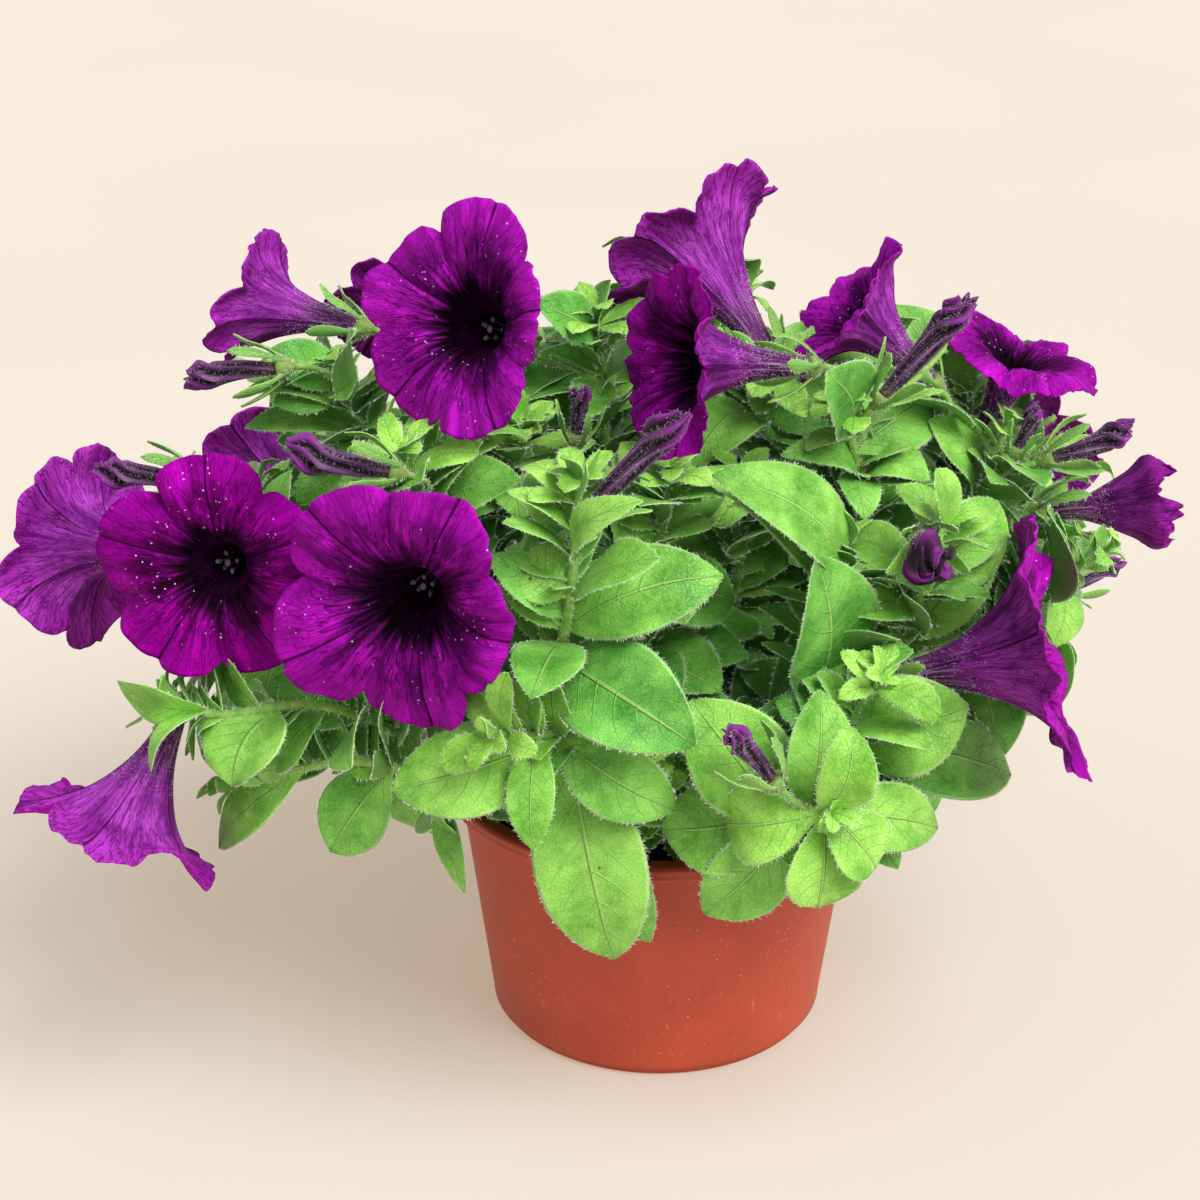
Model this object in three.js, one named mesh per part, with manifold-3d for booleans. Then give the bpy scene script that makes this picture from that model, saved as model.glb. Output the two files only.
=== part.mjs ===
// A petunia in full flower, growing in a low plastic nursery pot.
//
// Millimetres, +Z up. The origin is the centre of the pot's flat underside, and the front is -Y.
// The pot is turned round the Z axis. Potting soil fills it to just below the rim. Leafy shoots
// stand in holes in the soil, lean out over the rim and end in tufts of small leaves. Each shoot
// carries its own flower stalks and calyxes, and each corolla or bud sits in its calyx.

import * as THREE from "three";
import { mergeVertices } from "three/addons/utils/BufferGeometryUtils.js";
import Module from "manifold-3d";

const wasm = await Module();
wasm.setup();

// ---------------------------------------------------------------- driving dimensions

const POT_HEIGHT = 79;
const RIM_RADIUS = 65;
const BASE_RADIUS = 49.5;
const WALL_FOOT = 50.1; // the wall's radius where it would meet the ground
const WALL = 1.3;
const FLOOR = 1.8;
const LIP_HEIGHT = 4.8;
const LIP_WIDTH = 5.3;
const FOOT_HEIGHT = 1.8;
const DRAIN_HOLES = 6;
const DRAIN_RADIUS = 4;
const DRAIN_CIRCLE = 33;
const DRAIN_SIDES = 8;
const POT_SIDES = 32;
const EDGE_ROUND = 1.2; // on the lip's upper edge


const SOIL_TOP = 69;
const SOIL_RELIEF = 1.6;
const SOIL_SIDES = 20;
const SOIL_RINGS = [44, 24]; // the radii of the rings on its top that rise and fall
const GAP = 0.3; // between pieces that touch

const STEM_RADIUS = 1.9;
const STEM_TIP_RADIUS = 1.2;
const STEM_SIDES = 4;
const STEM_DEPTH = 9; // how far a stem stands in the soil
const STEM_RISE = 5; // how far it then stands straight over it
const HOLE_SLACK = 1.2;
const HOLE_SIDES = 4;
const STALK_RADIUS = 1;
const STALK_BEND = 0.3; // how far under its flower it bends, as a share of the flower's length
const CALYX_RADIUS = 3.6;
const CALYX_DEPTH = 4; // from the flower's base down to its stalk
const CALYX_WALL = 0.5;
const SEPALS = 5;
const SEPAL_LENGTH = 13;
const SEPAL_REACH = 9.5; // from a sepal's tip to the flower's axis
const SHORT_BUD = 18; // a bud shorter than this has a small calyx

const LEAF_THICKNESS = 1.3; // at the rib; a blade thins towards its edge
const NODE_HEIGHT = 2; // of the sides that leaves grow from
const NODE_SPACING = 0.07; // the least between two nodes, as a share of the way up
const TUFT_STEP = 3.5; // between the two nodes of a tuft
const LEAF_CLEARANCE = 0.4; // kept from every other piece
const PETAL_THICKNESS = 0.8;

// The reference view, which every [u, v, y] below is read in: where the eye stands, in mm, how far
// it looks down, in degrees, its focal length in pixels, and the middle of its square frame.
const EYE = new THREE.Vector3(-17.5, -674, 430.6);
const EYE_PITCH = THREE.MathUtils.degToRad(23.9);
const EYE_FOCAL = 2521;
const EYE_CENTRE = 600;

// ---------------------------------------------------------------- what grows where

// foot: where the shoot stands in the soil, as x and y; via: points that it passes, as [u, v, y];
// leaves: [share of the way up, tip as [u, v, y], width, arch] for each leaf that the view shows;
// nodes: [how many others there are, from and to which share, length of the lowest one's leaves];
// tuft: how long the leaves at its tip are.
const SHOOTS = [
  { name: "front_low", foot: [-7, -30], via: [[560, 775, -62], [563, 738, -80], [508, 735, -92]],
    leaves: [[0.6, [614, 962, -84], 31, 0.1], [0.6, [650, 945, -74], 22, 0.06],
      [0.72, [676, 810, -88], 21, 0.14], [0.72, [392, 790, -84], 26, 0.1],
      [0.84, [532, 850, -97], 13, 0.12]],
    nodes: [2, 0.35, 0.5, 30], tuft: 16 },
  { name: "front_centre", foot: [-9, -14], via: [[560, 680, -64], [571, 590, -76], [578, 505, -72]],
    leaves: [[0.42, [694, 744, -100], 29, 0.16], [0.53, [722, 574, -74], 24, 0.12],
      [0.66, [520, 560, -72], 18, 0.2], [0.8, [640, 500, -82], 12, 0.2],
      [0.8, [535, 470, -70], 13, 0.2]],
    nodes: [3, 0.3, 0.9, 34], tuft: 17 },
  { name: "centre", foot: [3, -9], via: [[640, 640, -34], [657, 550, -44], [667, 485, -46]],
    leaves: [[0.5, [610, 500, -50], 17, 0.15], [0.5, [735, 600, -38], 22, 0.15],
      [0.3, [720, 690, -60], 24, 0.15]],
    nodes: [4, 0.3, 0.9, 32], tuft: 14 },
  { name: "right_front", foot: [12, -28], via: [[742, 800, -66], [790, 815, -84], [822, 812, -96]],
    leaves: [[0.58, [690, 700, -80], 28, 0.15], [0.58, [662, 830, -78], 26, 0.12],
      [0.74, [704, 914, -86], 22, 0.08], [0.88, [820, 690, -84], 20, 0.1],
      [0.88, [940, 828, -78], 19, 0.12], [1, [856, 738, -100], 14, 0.2],
      [1, [722, 826, -100], 19, 0.16], [1, [818, 908, -100], 20, 0.1], [1, [880, 868, -98], 18, 0.12]],
    nodes: [2, 0.3, 0.6, 34], tuft: 11 },
  { name: "centre_right", foot: [16, -14],
    via: [[790, 740, -50], [817, 700, -62], [838, 600, -48], [846, 560, -46]],
    leaves: [[0.52, [818, 558, -74], 31, 0.08], [0.74, [686, 470, -46], 24, 0.25],
      [0.86, [717, 474, -66], 27, 0.2]],
    nodes: [3, 0.3, 0.95, 34], tuft: 18 },
  { name: "right_mid", foot: [24, -20], via: [[820, 770, -58], [846, 728, -70], [874, 688, -76]],
    leaves: [[0.6, [968, 706, -74], 28, 0.12], [0.6, [1010, 775, -50], 26, 0.12],
      [1, [940, 715, -84], 9, 0.25]],
    nodes: [2, 0.3, 0.7, 30], tuft: 12 },
  { name: "right", foot: [29, -8], via: [[880, 680, -34], [915, 610, -52], [937, 545, -54]],
    leaves: [[0.75, [826, 556, -50], 16, 0.3], [0.75, [1000, 500, -44], 22, 0.12],
      [1, [905, 482, -58], 10, 0.15], [1, [938, 470, -56], 12, 0.12]],
    nodes: [3, 0.3, 0.8, 34], tuft: 17 },
  { name: "upper_right", foot: [18, 4], via: [[846, 610, 4], [862, 510, -10], [848, 418, -22]],
    leaves: [[0.55, [790, 560, -20], 24, 0.15], [0.76, [780, 456, -30], 13, 0.25],
      [0.76, [930, 480, -24], 18, 0.3]],
    nodes: [4, 0.35, 0.95, 32], tuft: 16 },
  { name: "right_back", foot: [34, 8], via: [[930, 570, 2], [985, 480, -2], [1003, 435, -2]],
    leaves: [[0.72, [1055, 470, -10], 13, 0.25], [0.6, [930, 420, -6], 22, 0.12]],
    nodes: [3, 0.3, 0.9, 32], tuft: 16 },
  { name: "far_right", foot: [38, -6], via: [[950, 660, -26], [1040, 590, -18], [1098, 556, -20]],
    leaves: [[0.62, [1050, 510, -12], 24, 0.15], [0.75, [1045, 650, -26], 16, 0.2]],
    nodes: [3, 0.35, 0.9, 32], tuft: 15 },
  { name: "right_top", foot: [27, 20], via: [[930, 540, 26], [962, 450, 28], [966, 412, 28]],
    leaves: [[0.8, [1035, 390, 20], 15, 0.35]],
    nodes: [3, 0.35, 0.95, 32], tuft: 15 },
  { name: "top", foot: [-4, 11], via: [[608, 480, 14], [602, 380, 12], [596, 328, 8]],
    leaves: [[0.9, [610, 280, 14], 14, 0.1], [0.6, [650, 355, 4], 22, 0.2]],
    nodes: [4, 0.4, 0.95, 30], tuft: 17 },
  { name: "top_right", foot: [9, 17], via: [[730, 490, 24], [758, 420, 10], [772, 372, 0]],
    leaves: [[0.7, [690, 470, -20], 22, 0.2]],
    nodes: [3, 0.4, 0.95, 32], tuft: 16 },
  { name: "top_left", foot: [-20, 10], via: [[450, 530, 10], [375, 430, 6], [340, 375, 4]],
    leaves: [[0.66, [245, 425, 6], 13, 0.1], [0.78, [240, 395, -8], 15, 0.2],
      [0.78, [352, 330, -12], 13, 0.1]],
    nodes: [3, 0.35, 0.95, 32], tuft: 16 },
  { name: "left_mid", foot: [-18, -8], via: [[480, 610, -24], [430, 520, -34], [408, 470, -38]],
    leaves: [[0.66, [480, 440, -40], 17, 0.2], [0.66, [520, 480, -34], 21, 0.15]],
    nodes: [3, 0.3, 0.9, 30], tuft: 18 },
  { name: "left_far", foot: [-30, -2], via: [[400, 620, -10], [275, 575, 2], [200, 478, 0]],
    leaves: [[0.6, [290, 470, -14], 20, 0.15]],
    nodes: [3, 0.35, 0.95, 30], tuft: 14 },
  { name: "left_low", foot: [-28, -16],
    via: [[430, 745, -46], [320, 705, -62], [215, 715, -60], [190, 706, -56]],
    leaves: [[0.6, [232, 786, -78], 31, 0.1], [0.72, [240, 660, -50], 20, 0.15],
      [0.84, [118, 680, -58], 15, 0.15], [0.84, [150, 770, -72], 12, 0.2]],
    nodes: [2, 0.4, 0.6, 30], tuft: 13 },
  { name: "left_trail", foot: [-20, -26], via: [[450, 790, -60], [370, 762, -64], [250, 778, -48]],
    leaves: [[0.36, [465, 892, -66], 9, 0.05], [0.46, [432, 835, -56], 24, 0.06],
      [0.58, [330, 852, -66], 22, 0.06], [0.86, [216, 848, -48], 15, 0.1]],
    nodes: [2, 0.4, 0.8, 30], tuft: 15 },
  { name: "inner_front", foot: [6, -24], via: [[652, 790, -46], [672, 745, -62]],
    leaves: [[0.6, [612, 815, -70], 24, 0.15]],
    nodes: [2, 0.3, 0.85, 32], tuft: 16 },
  { name: "inner_middle", foot: [13, 3], via: [[722, 650, -8], [738, 570, -16], [742, 505, -20]],
    leaves: [[0.52, [690, 640, -40], 26, 0.15], [0.75, [800, 520, -30], 24, 0.2]],
    nodes: [4, 0.25, 0.9, 36], tuft: 18 },
  { name: "inner_left", foot: [-11, 3], via: [[530, 600, -2], [512, 500, -8], [520, 445, -12]],
    leaves: [[0.7, [470, 520, -30], 24, 0.15]],
    nodes: [3, 0.25, 0.9, 34], tuft: 17 },
  { name: "inner_back", foot: [2, 23], via: [[685, 490, 56], [674, 410, 62], [668, 365, 58]],
    leaves: [],
    nodes: [3, 0.3, 0.9, 36], tuft: 17 },
  { name: "back_right", foot: [22, 28], via: [[940, 520, 70], [990, 500, 96], [1010, 520, 112]],
    leaves: [], nodes: [4, 0.35, 0.9, 38], tuft: 17 },
  { name: "back_middle", foot: [6, 32], via: [[690, 500, 80], [690, 480, 118], [700, 510, 140]],
    leaves: [], nodes: [4, 0.35, 0.9, 38], tuft: 17 },
  { name: "back_left", foot: [-14, 28], via: [[520, 510, 70], [470, 490, 100], [430, 520, 124]],
    leaves: [], nodes: [4, 0.35, 0.9, 38], tuft: 17 },
  { name: "back_far_left", foot: [-30, 18], via: [[380, 560, 46], [310, 520, 70], [270, 540, 90]],
    leaves: [], nodes: [4, 0.35, 0.9, 36], tuft: 16 },
];

// shoot and at: the shoot that its stalk leaves, and at what share of the way up; mouth: the middle
// of its mouth, as [u, v, y]; faces: the way that it looks; across and deep: its width, and its length
// from calyx to mouth; open: 0 for a plain cone, 1 for a flat face on a narrow tube; spin: how far its
// lobes are turned, in degrees; fold: where round the mouth a side folds forward, and how far.
const BLOOMS = [
  { name: "left_front", shoot: "left_mid", at: 0.55, mouth: [405, 607, -78], faces: [-0.26, -0.95, 0.02],
    across: 71, deep: 40, open: 0.9, spin: 10, fold: [-105, 0.3] },
  { name: "left", shoot: "left_far", at: 0.72, mouth: [212, 570, -54], faces: [-0.16, -0.95, 0.25],
    across: 62, deep: 38, open: 0.9, spin: 40, fold: [0, 0.05] },
  { name: "far_left", shoot: "left_far", at: 0.86, mouth: [78, 545, -4], faces: [-0.78, 0.55, -0.15],
    across: 62, deep: 38, open: 0.85, spin: 0, fold: [0, 0] },
  { name: "top_left", shoot: "top_left", at: 0.5, mouth: [462, 317, -30], faces: [-0.42, -0.82, 0.4],
    across: 67, deep: 38, open: 0.8, spin: 30, fold: [-85, 0.35] },
  { name: "behind_top_left", shoot: "top_left", at: 0.6, mouth: [394, 302, 52], faces: [-0.3, 0.75, 0.58],
    across: 44, deep: 32, open: 0.8, spin: 20, fold: [0, 0] },
  { name: "upper_left", shoot: "top_left", at: 0.85, mouth: [252, 302, 30], faces: [-0.92, 0.3, 0.12],
    across: 42, deep: 34, open: 0.3, spin: 15, fold: [180, 0.3] },
  { name: "top", shoot: "top_right", at: 0.8, mouth: [688, 240, 26], faces: [-0.55, 0.5, 0.67],
    across: 60, deep: 44, open: 0.35, spin: 0, fold: [0, 0.1] },
  { name: "centre", shoot: "upper_right", at: 0.72, mouth: [668, 360, -44], faces: [-0.88, -0.36, 0.16],
    across: 50, deep: 42, open: 0.35, spin: 30, fold: [150, 0.1] },
  { name: "upper_right", shoot: "upper_right", at: 0.86, mouth: [846, 302, 4], faces: [-0.72, -0.06, 0.6],
    across: 44, deep: 34, open: 0.3, spin: 0, fold: [0, 0.2] },
  { name: "right_top", shoot: "right_top", at: 0.97, mouth: [1018, 362, 20], faces: [0.3, -0.12, 0.93],
    across: 50, deep: 34, open: 1.0, spin: 20, fold: [0, 0] },
  { name: "right", shoot: "right_mid", at: 0.99, mouth: [1058, 648, -66], faces: [0.93, -0.16, 0.26],
    across: 70, deep: 47, open: 0.25, spin: 20, fold: [0, 0] },
  { name: "far_right", shoot: "far_right", at: 0.72, mouth: [1168, 502, -6], faces: [0.97, -0.1, 0.12],
    across: 26, deep: 35, open: 0.05, spin: 10, fold: [0, 0] },
  { name: "low_left", shoot: "left_low", at: 0.9, mouth: [118, 838, -56], faces: [-0.42, -0.36, -0.82],
    across: 52, deep: 42, open: 0.2, spin: 0, fold: [0, 0] },
  { name: "back_high", shoot: "back_middle", at: 0.75, mouth: [712, 390, 112], faces: [0.05, 0.72, 0.69],
    across: 62, deep: 38, open: 0.9, spin: 10, fold: [60, 0.2] },
  { name: "back_right", shoot: "back_right", at: 0.8, mouth: [1010, 440, 118], faces: [0.55, 0.75, 0.35],
    across: 64, deep: 40, open: 0.85, spin: 50, fold: [-60, 0.2] },
  { name: "back_left", shoot: "back_left", at: 0.86, mouth: [490, 500, 150], faces: [-0.2, 0.93, 0.3],
    across: 66, deep: 40, open: 0.9, spin: 25, fold: [100, 0.2] },
  { name: "back_low", shoot: "back_far_left", at: 0.84, mouth: [262, 470, 112], faces: [-0.65, 0.7, 0.3],
    across: 58, deep: 40, open: 0.5, spin: 0, fold: [180, 0.1] },
];

// shoot, at and faces as above; tip: where the bud ends, as [u, v, y]; long and thick: its size.
const BUDS = [
  { name: "left_top", shoot: "top_left", at: 0.84, tip: [187, 379, -10],
    faces: [-1, 0, -0.12], long: 26, thick: 8 },
  { name: "left_upper", shoot: "left_far", at: 0.9, tip: [98, 470, -30],
    faces: [-0.98, -0.05, 0.15], long: 25, thick: 8 },
  { name: "left_middle", shoot: "left_mid", at: 0.8, tip: [290, 450, -58],
    faces: [-0.96, -0.1, 0.26], long: 27, thick: 9.5 },
  { name: "front_small", shoot: "left_mid", at: 0.74, tip: [580, 388, -30],
    faces: [0.05, -0.1, 0.99], long: 14, thick: 6 },
  { name: "front_tall", shoot: "front_centre", at: 0.94, tip: [682, 414, -78],
    faces: [0.66, -0.05, 0.75], long: 36, thick: 10 },
  { name: "right_tall", shoot: "upper_right", at: 0.95, tip: [968, 300, -24],
    faces: [0.62, 0, 0.78], long: 35, thick: 9.5 },
  { name: "right_upper", shoot: "right_back", at: 0.92, tip: [1132, 427, -10],
    faces: [0.92, 0, 0.38], long: 24, thick: 8 },
  { name: "front_right", shoot: "right_front", at: 0.95, tip: [728, 732, -102],
    faces: [-0.62, -0.1, 0.78], long: 19, thick: 6.5 },
  { name: "crumpled", shoot: "right", at: 0.92, tip: [936, 574, -78],
    faces: [0.05, -0.92, -0.1], long: 20, thick: 17 },
  { name: "right_small", shoot: "right_back", at: 0.8, tip: [1036, 404, -4],
    faces: [0.3, 0, 0.95], long: 14, thick: 6 },
  { name: "back_tall", shoot: "back_right", at: 0.95, tip: [1120, 560, 120],
    faces: [0.8, 0.5, 0.2], long: 26, thick: 8 },
  { name: "back_upright", shoot: "back_middle", at: 0.95, tip: [760, 420, 140],
    faces: [0.4, 0.4, 0.82], long: 24, thick: 8 },
  { name: "back_low", shoot: "back_left", at: 0.95, tip: [360, 480, 128],
    faces: [-0.7, 0.5, 0.5], long: 24, thick: 8 },
];

// ---------------------------------------------------------------- materials

const finish = (color, roughness) => new THREE.MeshStandardMaterial({ color, roughness, metalness: 0 });
const POT_PLASTIC = finish(0xa8452f, 0.5);
const SOIL_PEAT = finish(0x2b1f18, 0.95);
const LEAF_GREEN = finish(0x5e9e3c, 0.6);
const PETAL_PURPLE = finish(0x7a0a8c, 0.6);
const BUD_PURPLE = finish(0x4d2350, 0.7);

// ---------------------------------------------------------------- small helpers

const { PI, abs, cos, floor, hypot, max, min, sin } = Math;
const radians = THREE.MathUtils.degToRad;
const mix = THREE.MathUtils.lerp;
const point = (x, y, z) => new THREE.Vector3(x, y, z);
const UP = point(0, 0, 1);
const FRONT = point(0, -1, 0);
const MOUND_CENTRE = point(0, 0, 70); // leaves turn their faces away from here

// A seeded draw between 0 and 1, the same wherever it is worked out.
function drawFrom(seed) {
  let state = seed;
  return () => {
    state = (state * 1664525 + 1013904223) % 4294967296;
    return state / 4294967296;
  };
}

// The point that is seen at pixel (u, v) of the reference view, in the plane y.
function seen([u, v, y]) {
  const right = (u - EYE_CENTRE) / EYE_FOCAL;
  const up = (EYE_CENTRE - v) / EYE_FOCAL;
  const ray = point(
    right,
    cos(EYE_PITCH) + up * sin(EYE_PITCH),
    up * cos(EYE_PITCH) - sin(EYE_PITCH),
  );
  return EYE.clone().addScaledVector(ray, (y - EYE.y) / ray.y);
}

// Two directions across `axis`: the first as near to `towards` as it can be.
function across(axis, towards) {
  const first = towards.clone().addScaledVector(axis, -towards.dot(axis));
  if (first.length() < 1e-3) first.set(1, 0, 0).addScaledVector(axis, -axis.x);
  first.normalize();
  return [first, axis.clone().cross(first)];
}

// A smooth step from 0 at `from` to 1 at `to`.
function ramp(from, to, x) {
  const t = min(max((x - from) / (to - from), 0), 1);
  return t * t * (3 - 2 * t);
}

// A list of [share, value] pairs, read at x by straight lines between them.
function along(stops, x) {
  const k = stops.findIndex(([s]) => s >= x);
  if (k <= 0) return stops[k < 0 ? stops.length - 1 : 0][1];
  const [[s0, v0], [s1, v1]] = [stops[k - 1], stops[k]];
  return mix(v0, v1, (x - s0) / (s1 - s0));
}

// A closed solid from its corners and triangles.
function solid(corners, triangles) {
  const geometry = new THREE.BufferGeometry().setFromPoints(corners).setIndex(triangles.flat());
  return solidOf(geometry);
}

function solidOf(geometry) {
  const bare = geometry.clone();
  bare.deleteAttribute("normal");
  bare.deleteAttribute("uv");
  const merged = mergeVertices(bare, 1e-3);
  return new wasm.Manifold(
    new wasm.Mesh({
      numProp: 3,
      vertProperties: merged.attributes.position.array,
      triVerts: new Uint32Array(merged.index.array),
    }),
  );
}

// The biggest body of a solid: a scrap that a cut leaves loose is dropped.
function biggest(made) {
  return made.decompose().reduce((a, b) => (b.volume() > a.volume() ? b : a));
}

function meshOf(name, made, material) {
  const { numProp, vertProperties, triVerts } = biggest(made).getMesh();
  const corners = new Float32Array((vertProperties.length / numProp) * 3);
  for (let i = 0; i < corners.length / 3; i++)
    corners.set(vertProperties.subarray(i * numProp, i * numProp + 3), i * 3);
  const geometry = new THREE.BufferGeometry()
    .setAttribute("position", new THREE.BufferAttribute(corners, 3))
    .setIndex(new THREE.BufferAttribute(triVerts, 1));
  geometry.computeVertexNormals();
  const mesh = new THREE.Mesh(geometry, material);
  mesh.name = name;
  return mesh;
}

// The triangles between ring a and ring b, which hold the indices of their corners in order.
// Ring b may have twice as many corners as ring a.
function band(a, b) {
  const n = a.length;
  const twice = b.length === 2 * n;
  return a.flatMap((a0, i) => {
    const a1 = a[(i + 1) % n];
    if (!twice) return [[a0, a1, b[i]], [a1, b[(i + 1) % n], b[i]]];
    const [b0, b1, b2] = [b[2 * i], b[2 * i + 1], b[(2 * i + 2) % b.length]];
    return [[a0, b1, b0], [a0, a1, b1], [a1, b2, b1]];
  });
}

// A flat cap on a ring, as a fan from its first corner.
const cap = (ring) => ring.slice(1, -1).map((c, i) => [ring[0], ring[i + 2], c]);
const flipped = (triangles) => triangles.map(([a, b, c]) => [a, c, b]);
// A cone from a ring to one corner past it.
const fan = (ring, tip) => ring.map((c, i) => [c, ring[(i + 1) % ring.length], tip]);

// Adds a ring of corners round `centre` to `corners`: x and y are its two directions, and `radii`
// holds each corner's distance. It gives back the new corners' indices.
function addRing(corners, centre, x, y, radii, start = 0) {
  return radii.map((radius, i) => {
    const turn = start + (2 * PI * i) / radii.length;
    const aside = x.clone().multiplyScalar(radius * cos(turn)).addScaledVector(y, radius * sin(turn));
    return corners.push(aside.add(centre)) - 1;
  });
}

// The rings of a tube through `points`. The first ring starts towards `side`, and each next one carries
// on from the ring before it, so that the tube doesn't twist.
function sweepRings(corners, points, radii, sides, side) {
  let towards = side;
  return points.map((p, k) => {
    const [before, after] = [points[max(k - 1, 0)], points[min(k + 1, points.length - 1)]];
    const axis = after.clone().sub(before).normalize();
    const [x, y] = across(axis, towards);
    towards = x;
    return addRing(corners, p, x, y, Array(sides).fill(radii[k]));
  });
}

const wallsOf = (rings) => rings.slice(1).flatMap((ring, k) => band(rings[k], ring));

// ---------------------------------------------------------------- pot and soil

// A cylinder that stands along Z, round the origin.
const upright = (radius, height, sides) =>
  new THREE.CylinderGeometry(radius, radius, height, sides).rotateX(PI / 2);

// The outer wall's radius at height z.
const wallRadius = (z) => mix(WALL_FOOT, RIM_RADIUS - LIP_WIDTH, z / (POT_HEIGHT - LIP_HEIGHT));

function makePot() {
  const lipBottom = POT_HEIGHT - LIP_HEIGHT;
  const profile = [
    [0, 0],
    [BASE_RADIUS - 1, 0],
    [BASE_RADIUS - 0.3, FOOT_HEIGHT],
    [wallRadius(FOOT_HEIGHT) + 0.3, FOOT_HEIGHT + 0.3],
    [wallRadius(lipBottom), lipBottom],
    [RIM_RADIUS, lipBottom + 0.4],
    [RIM_RADIUS, POT_HEIGHT - EDGE_ROUND],
    [RIM_RADIUS - EDGE_ROUND, POT_HEIGHT],
    [wallRadius(POT_HEIGHT), POT_HEIGHT],
    [wallRadius(POT_HEIGHT) - WALL, POT_HEIGHT - 1],
    [wallRadius(FLOOR) - WALL, FLOOR],
    [0, FLOOR],
  ];
  const turned = new THREE.LatheGeometry(
    profile.map(([r, z]) => new THREE.Vector2(r, z)),
    POT_SIDES,
  ).rotateX(PI / 2);
  const drain = upright(DRAIN_RADIUS, 3 * FLOOR, DRAIN_SIDES);
  let pot = solidOf(turned);
  for (let i = 0; i < DRAIN_HOLES; i++) {
    const turn = ((i + 0.5) * 2 * PI) / DRAIN_HOLES;
    const hole = drain.clone().translate(DRAIN_CIRCLE * cos(turn), DRAIN_CIRCLE * sin(turn), FLOOR / 2);
    pot = pot.subtract(solidOf(hole));
  }
  return meshOf("pot", pot, POT_PLASTIC);
}

// How far the soil's top stands over SOIL_TOP at (x, y).
const soilRelief = (x, y) =>
  SOIL_RELIEF * (sin(x * 0.23 + 1) * cos(y * 0.19) + 0.5 * sin(x * 0.11 - y * 0.31));

function makeSoil() {
  const inner = (z) => (wallRadius(z) - WALL) * cos(PI / POT_SIDES) - GAP;
  const bottom = FLOOR + GAP;
  const profile = [
    [0, bottom],
    [inner(bottom), bottom],
    ...[inner(SOIL_TOP), ...SOIL_RINGS, 0].map((radius) => [radius, SOIL_TOP]),
  ];
  const heap = new THREE.LatheGeometry(
    profile.map(([r, z]) => new THREE.Vector2(r, z)),
    SOIL_SIDES,
  ).rotateX(PI / 2);
  const corners = heap.getAttribute("position");
  for (let i = 0; i < corners.count; i++) {
    const [x, y, z] = [corners.getX(i), corners.getY(i), corners.getZ(i)];
    const isOnTop = z > SOIL_TOP - 1 && hypot(x, y) < SOIL_RINGS[0] + 1;
    if (isOnTop) corners.setZ(i, z + soilRelief(x, y));
  }
  let soil = solidOf(heap);
  const hole = upright(STEM_RADIUS + HOLE_SLACK, 2 * STEM_DEPTH, HOLE_SIDES);
  for (const { foot } of SHOOTS)
    soil = soil.subtract(solidOf(hole.clone().translate(foot[0], foot[1], SOIL_TOP)));
  return meshOf("soil", soil, SOIL_PEAT);
}

// ---------------------------------------------------------------- corollas and buds

// A frame on a flower: its base, the axis that it looks along, and two directions across it.
function frameOf(base, faces) {
  const axis = faces.clone().normalize();
  const [x, y] = across(axis, UP);
  return { base, axis, x, y };
}

function inFrame({ base, axis, x, y }, r, turn, z) {
  const aside = x.clone().multiplyScalar(r * cos(turn)).addScaledVector(y, r * sin(turn));
  return aside.addScaledVector(axis, z).add(base);
}

const TUBE_RADII = [2, 1.5]; // added to a corolla's radius at the first two stops along it
const LOBES = 5;
const NOTCH = 0.13; // how deep the edge is cut between two lobes, as a share of the radius
const WAVES = [[3, 0.05], [7, 0.03]]; // round the face: how many, and their height over the radius
const LOBE_TILT = 0.3;
const FOLD_RISE = 0.8;
const FOLD_PULL = 0.45;

// The radius and the depth along a corolla, for a plain cone and for a flat face on a narrow tube.
const CONE = [[0, 0], [0.42, 0.2], [0.62, 0.48], [0.82, 0.76], [1, 1]];
const FACE = [[0, 0], [0.42, 0.12], [0.62, 0.3], [0.82, 0.66], [1, 1]];
const CONE_DEPTH = [[0, 0], [0.42, 0.45], [0.62, 0.7], [0.82, 0.88], [1, 1]];
const FACE_DEPTH = [[0, 0], [0.42, 0.62], [0.62, 0.9], [0.82, 1.02], [1, 1]];

// The shape of one corolla: the radius and the depth of its middle surface at `turn` round it and
// share s from its base to its edge.
function corollaShape(bloom, index) {
  const draw = drawFrom(1000 + index);
  const tilts = Array.from({ length: LOBES }, () => draw() - 0.5);
  const phases = WAVES.map(() => draw() * 2 * PI);
  const radius = bloom.across / 2;
  const widths = (stops) => stops.map(([s, share], k) => [s, share * radius + (TUBE_RADII[k] ?? 0)]);
  const [cone, face] = [widths(CONE), widths(FACE)];
  const [foldAt, foldBy] = [radians(bloom.fold[0]), bloom.fold[1]];
  const spin = radians(bloom.spin);
  return (turn, s) => {
    const lobed = ((turn - spin) * LOBES) / (2 * PI);
    const tilt = LOBE_TILT * tilts[((floor(lobed) % LOBES) + LOBES) % LOBES];
    const rise = abs(sin(lobed * PI));
    const limb = ramp(0.5, 1, s);
    const fold = foldBy * max(0, cos(turn - foldAt)) ** 2 * limb;
    const notch = 1 - NOTCH * limb * (1 - rise ** 0.6);
    const wave = WAVES.reduce((sum, [count, high], k) => sum + high * sin(count * turn + phases[k]), 0);
    const bend = wave + tilt * rise + FOLD_RISE * fold;
    const r = mix(along(cone, s), along(face, s), bloom.open) * notch * (1 - FOLD_PULL * fold);
    const deep = mix(along(CONE_DEPTH, s), along(FACE_DEPTH, s), bloom.open);
    return [r, bloom.deep * deep + radius * limb * bend];
  };
}

// How many corners each ring of a corolla has, from its base to its edge.
const RINGS = [[0, 5], [0.42, 10], [0.74, 10], [1, 20]];
const INNER_FLOOR = 0.08; // the share where the hollow inside begins
const NEAR = 0.02; // how far apart two points are that give the surface's direction

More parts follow.
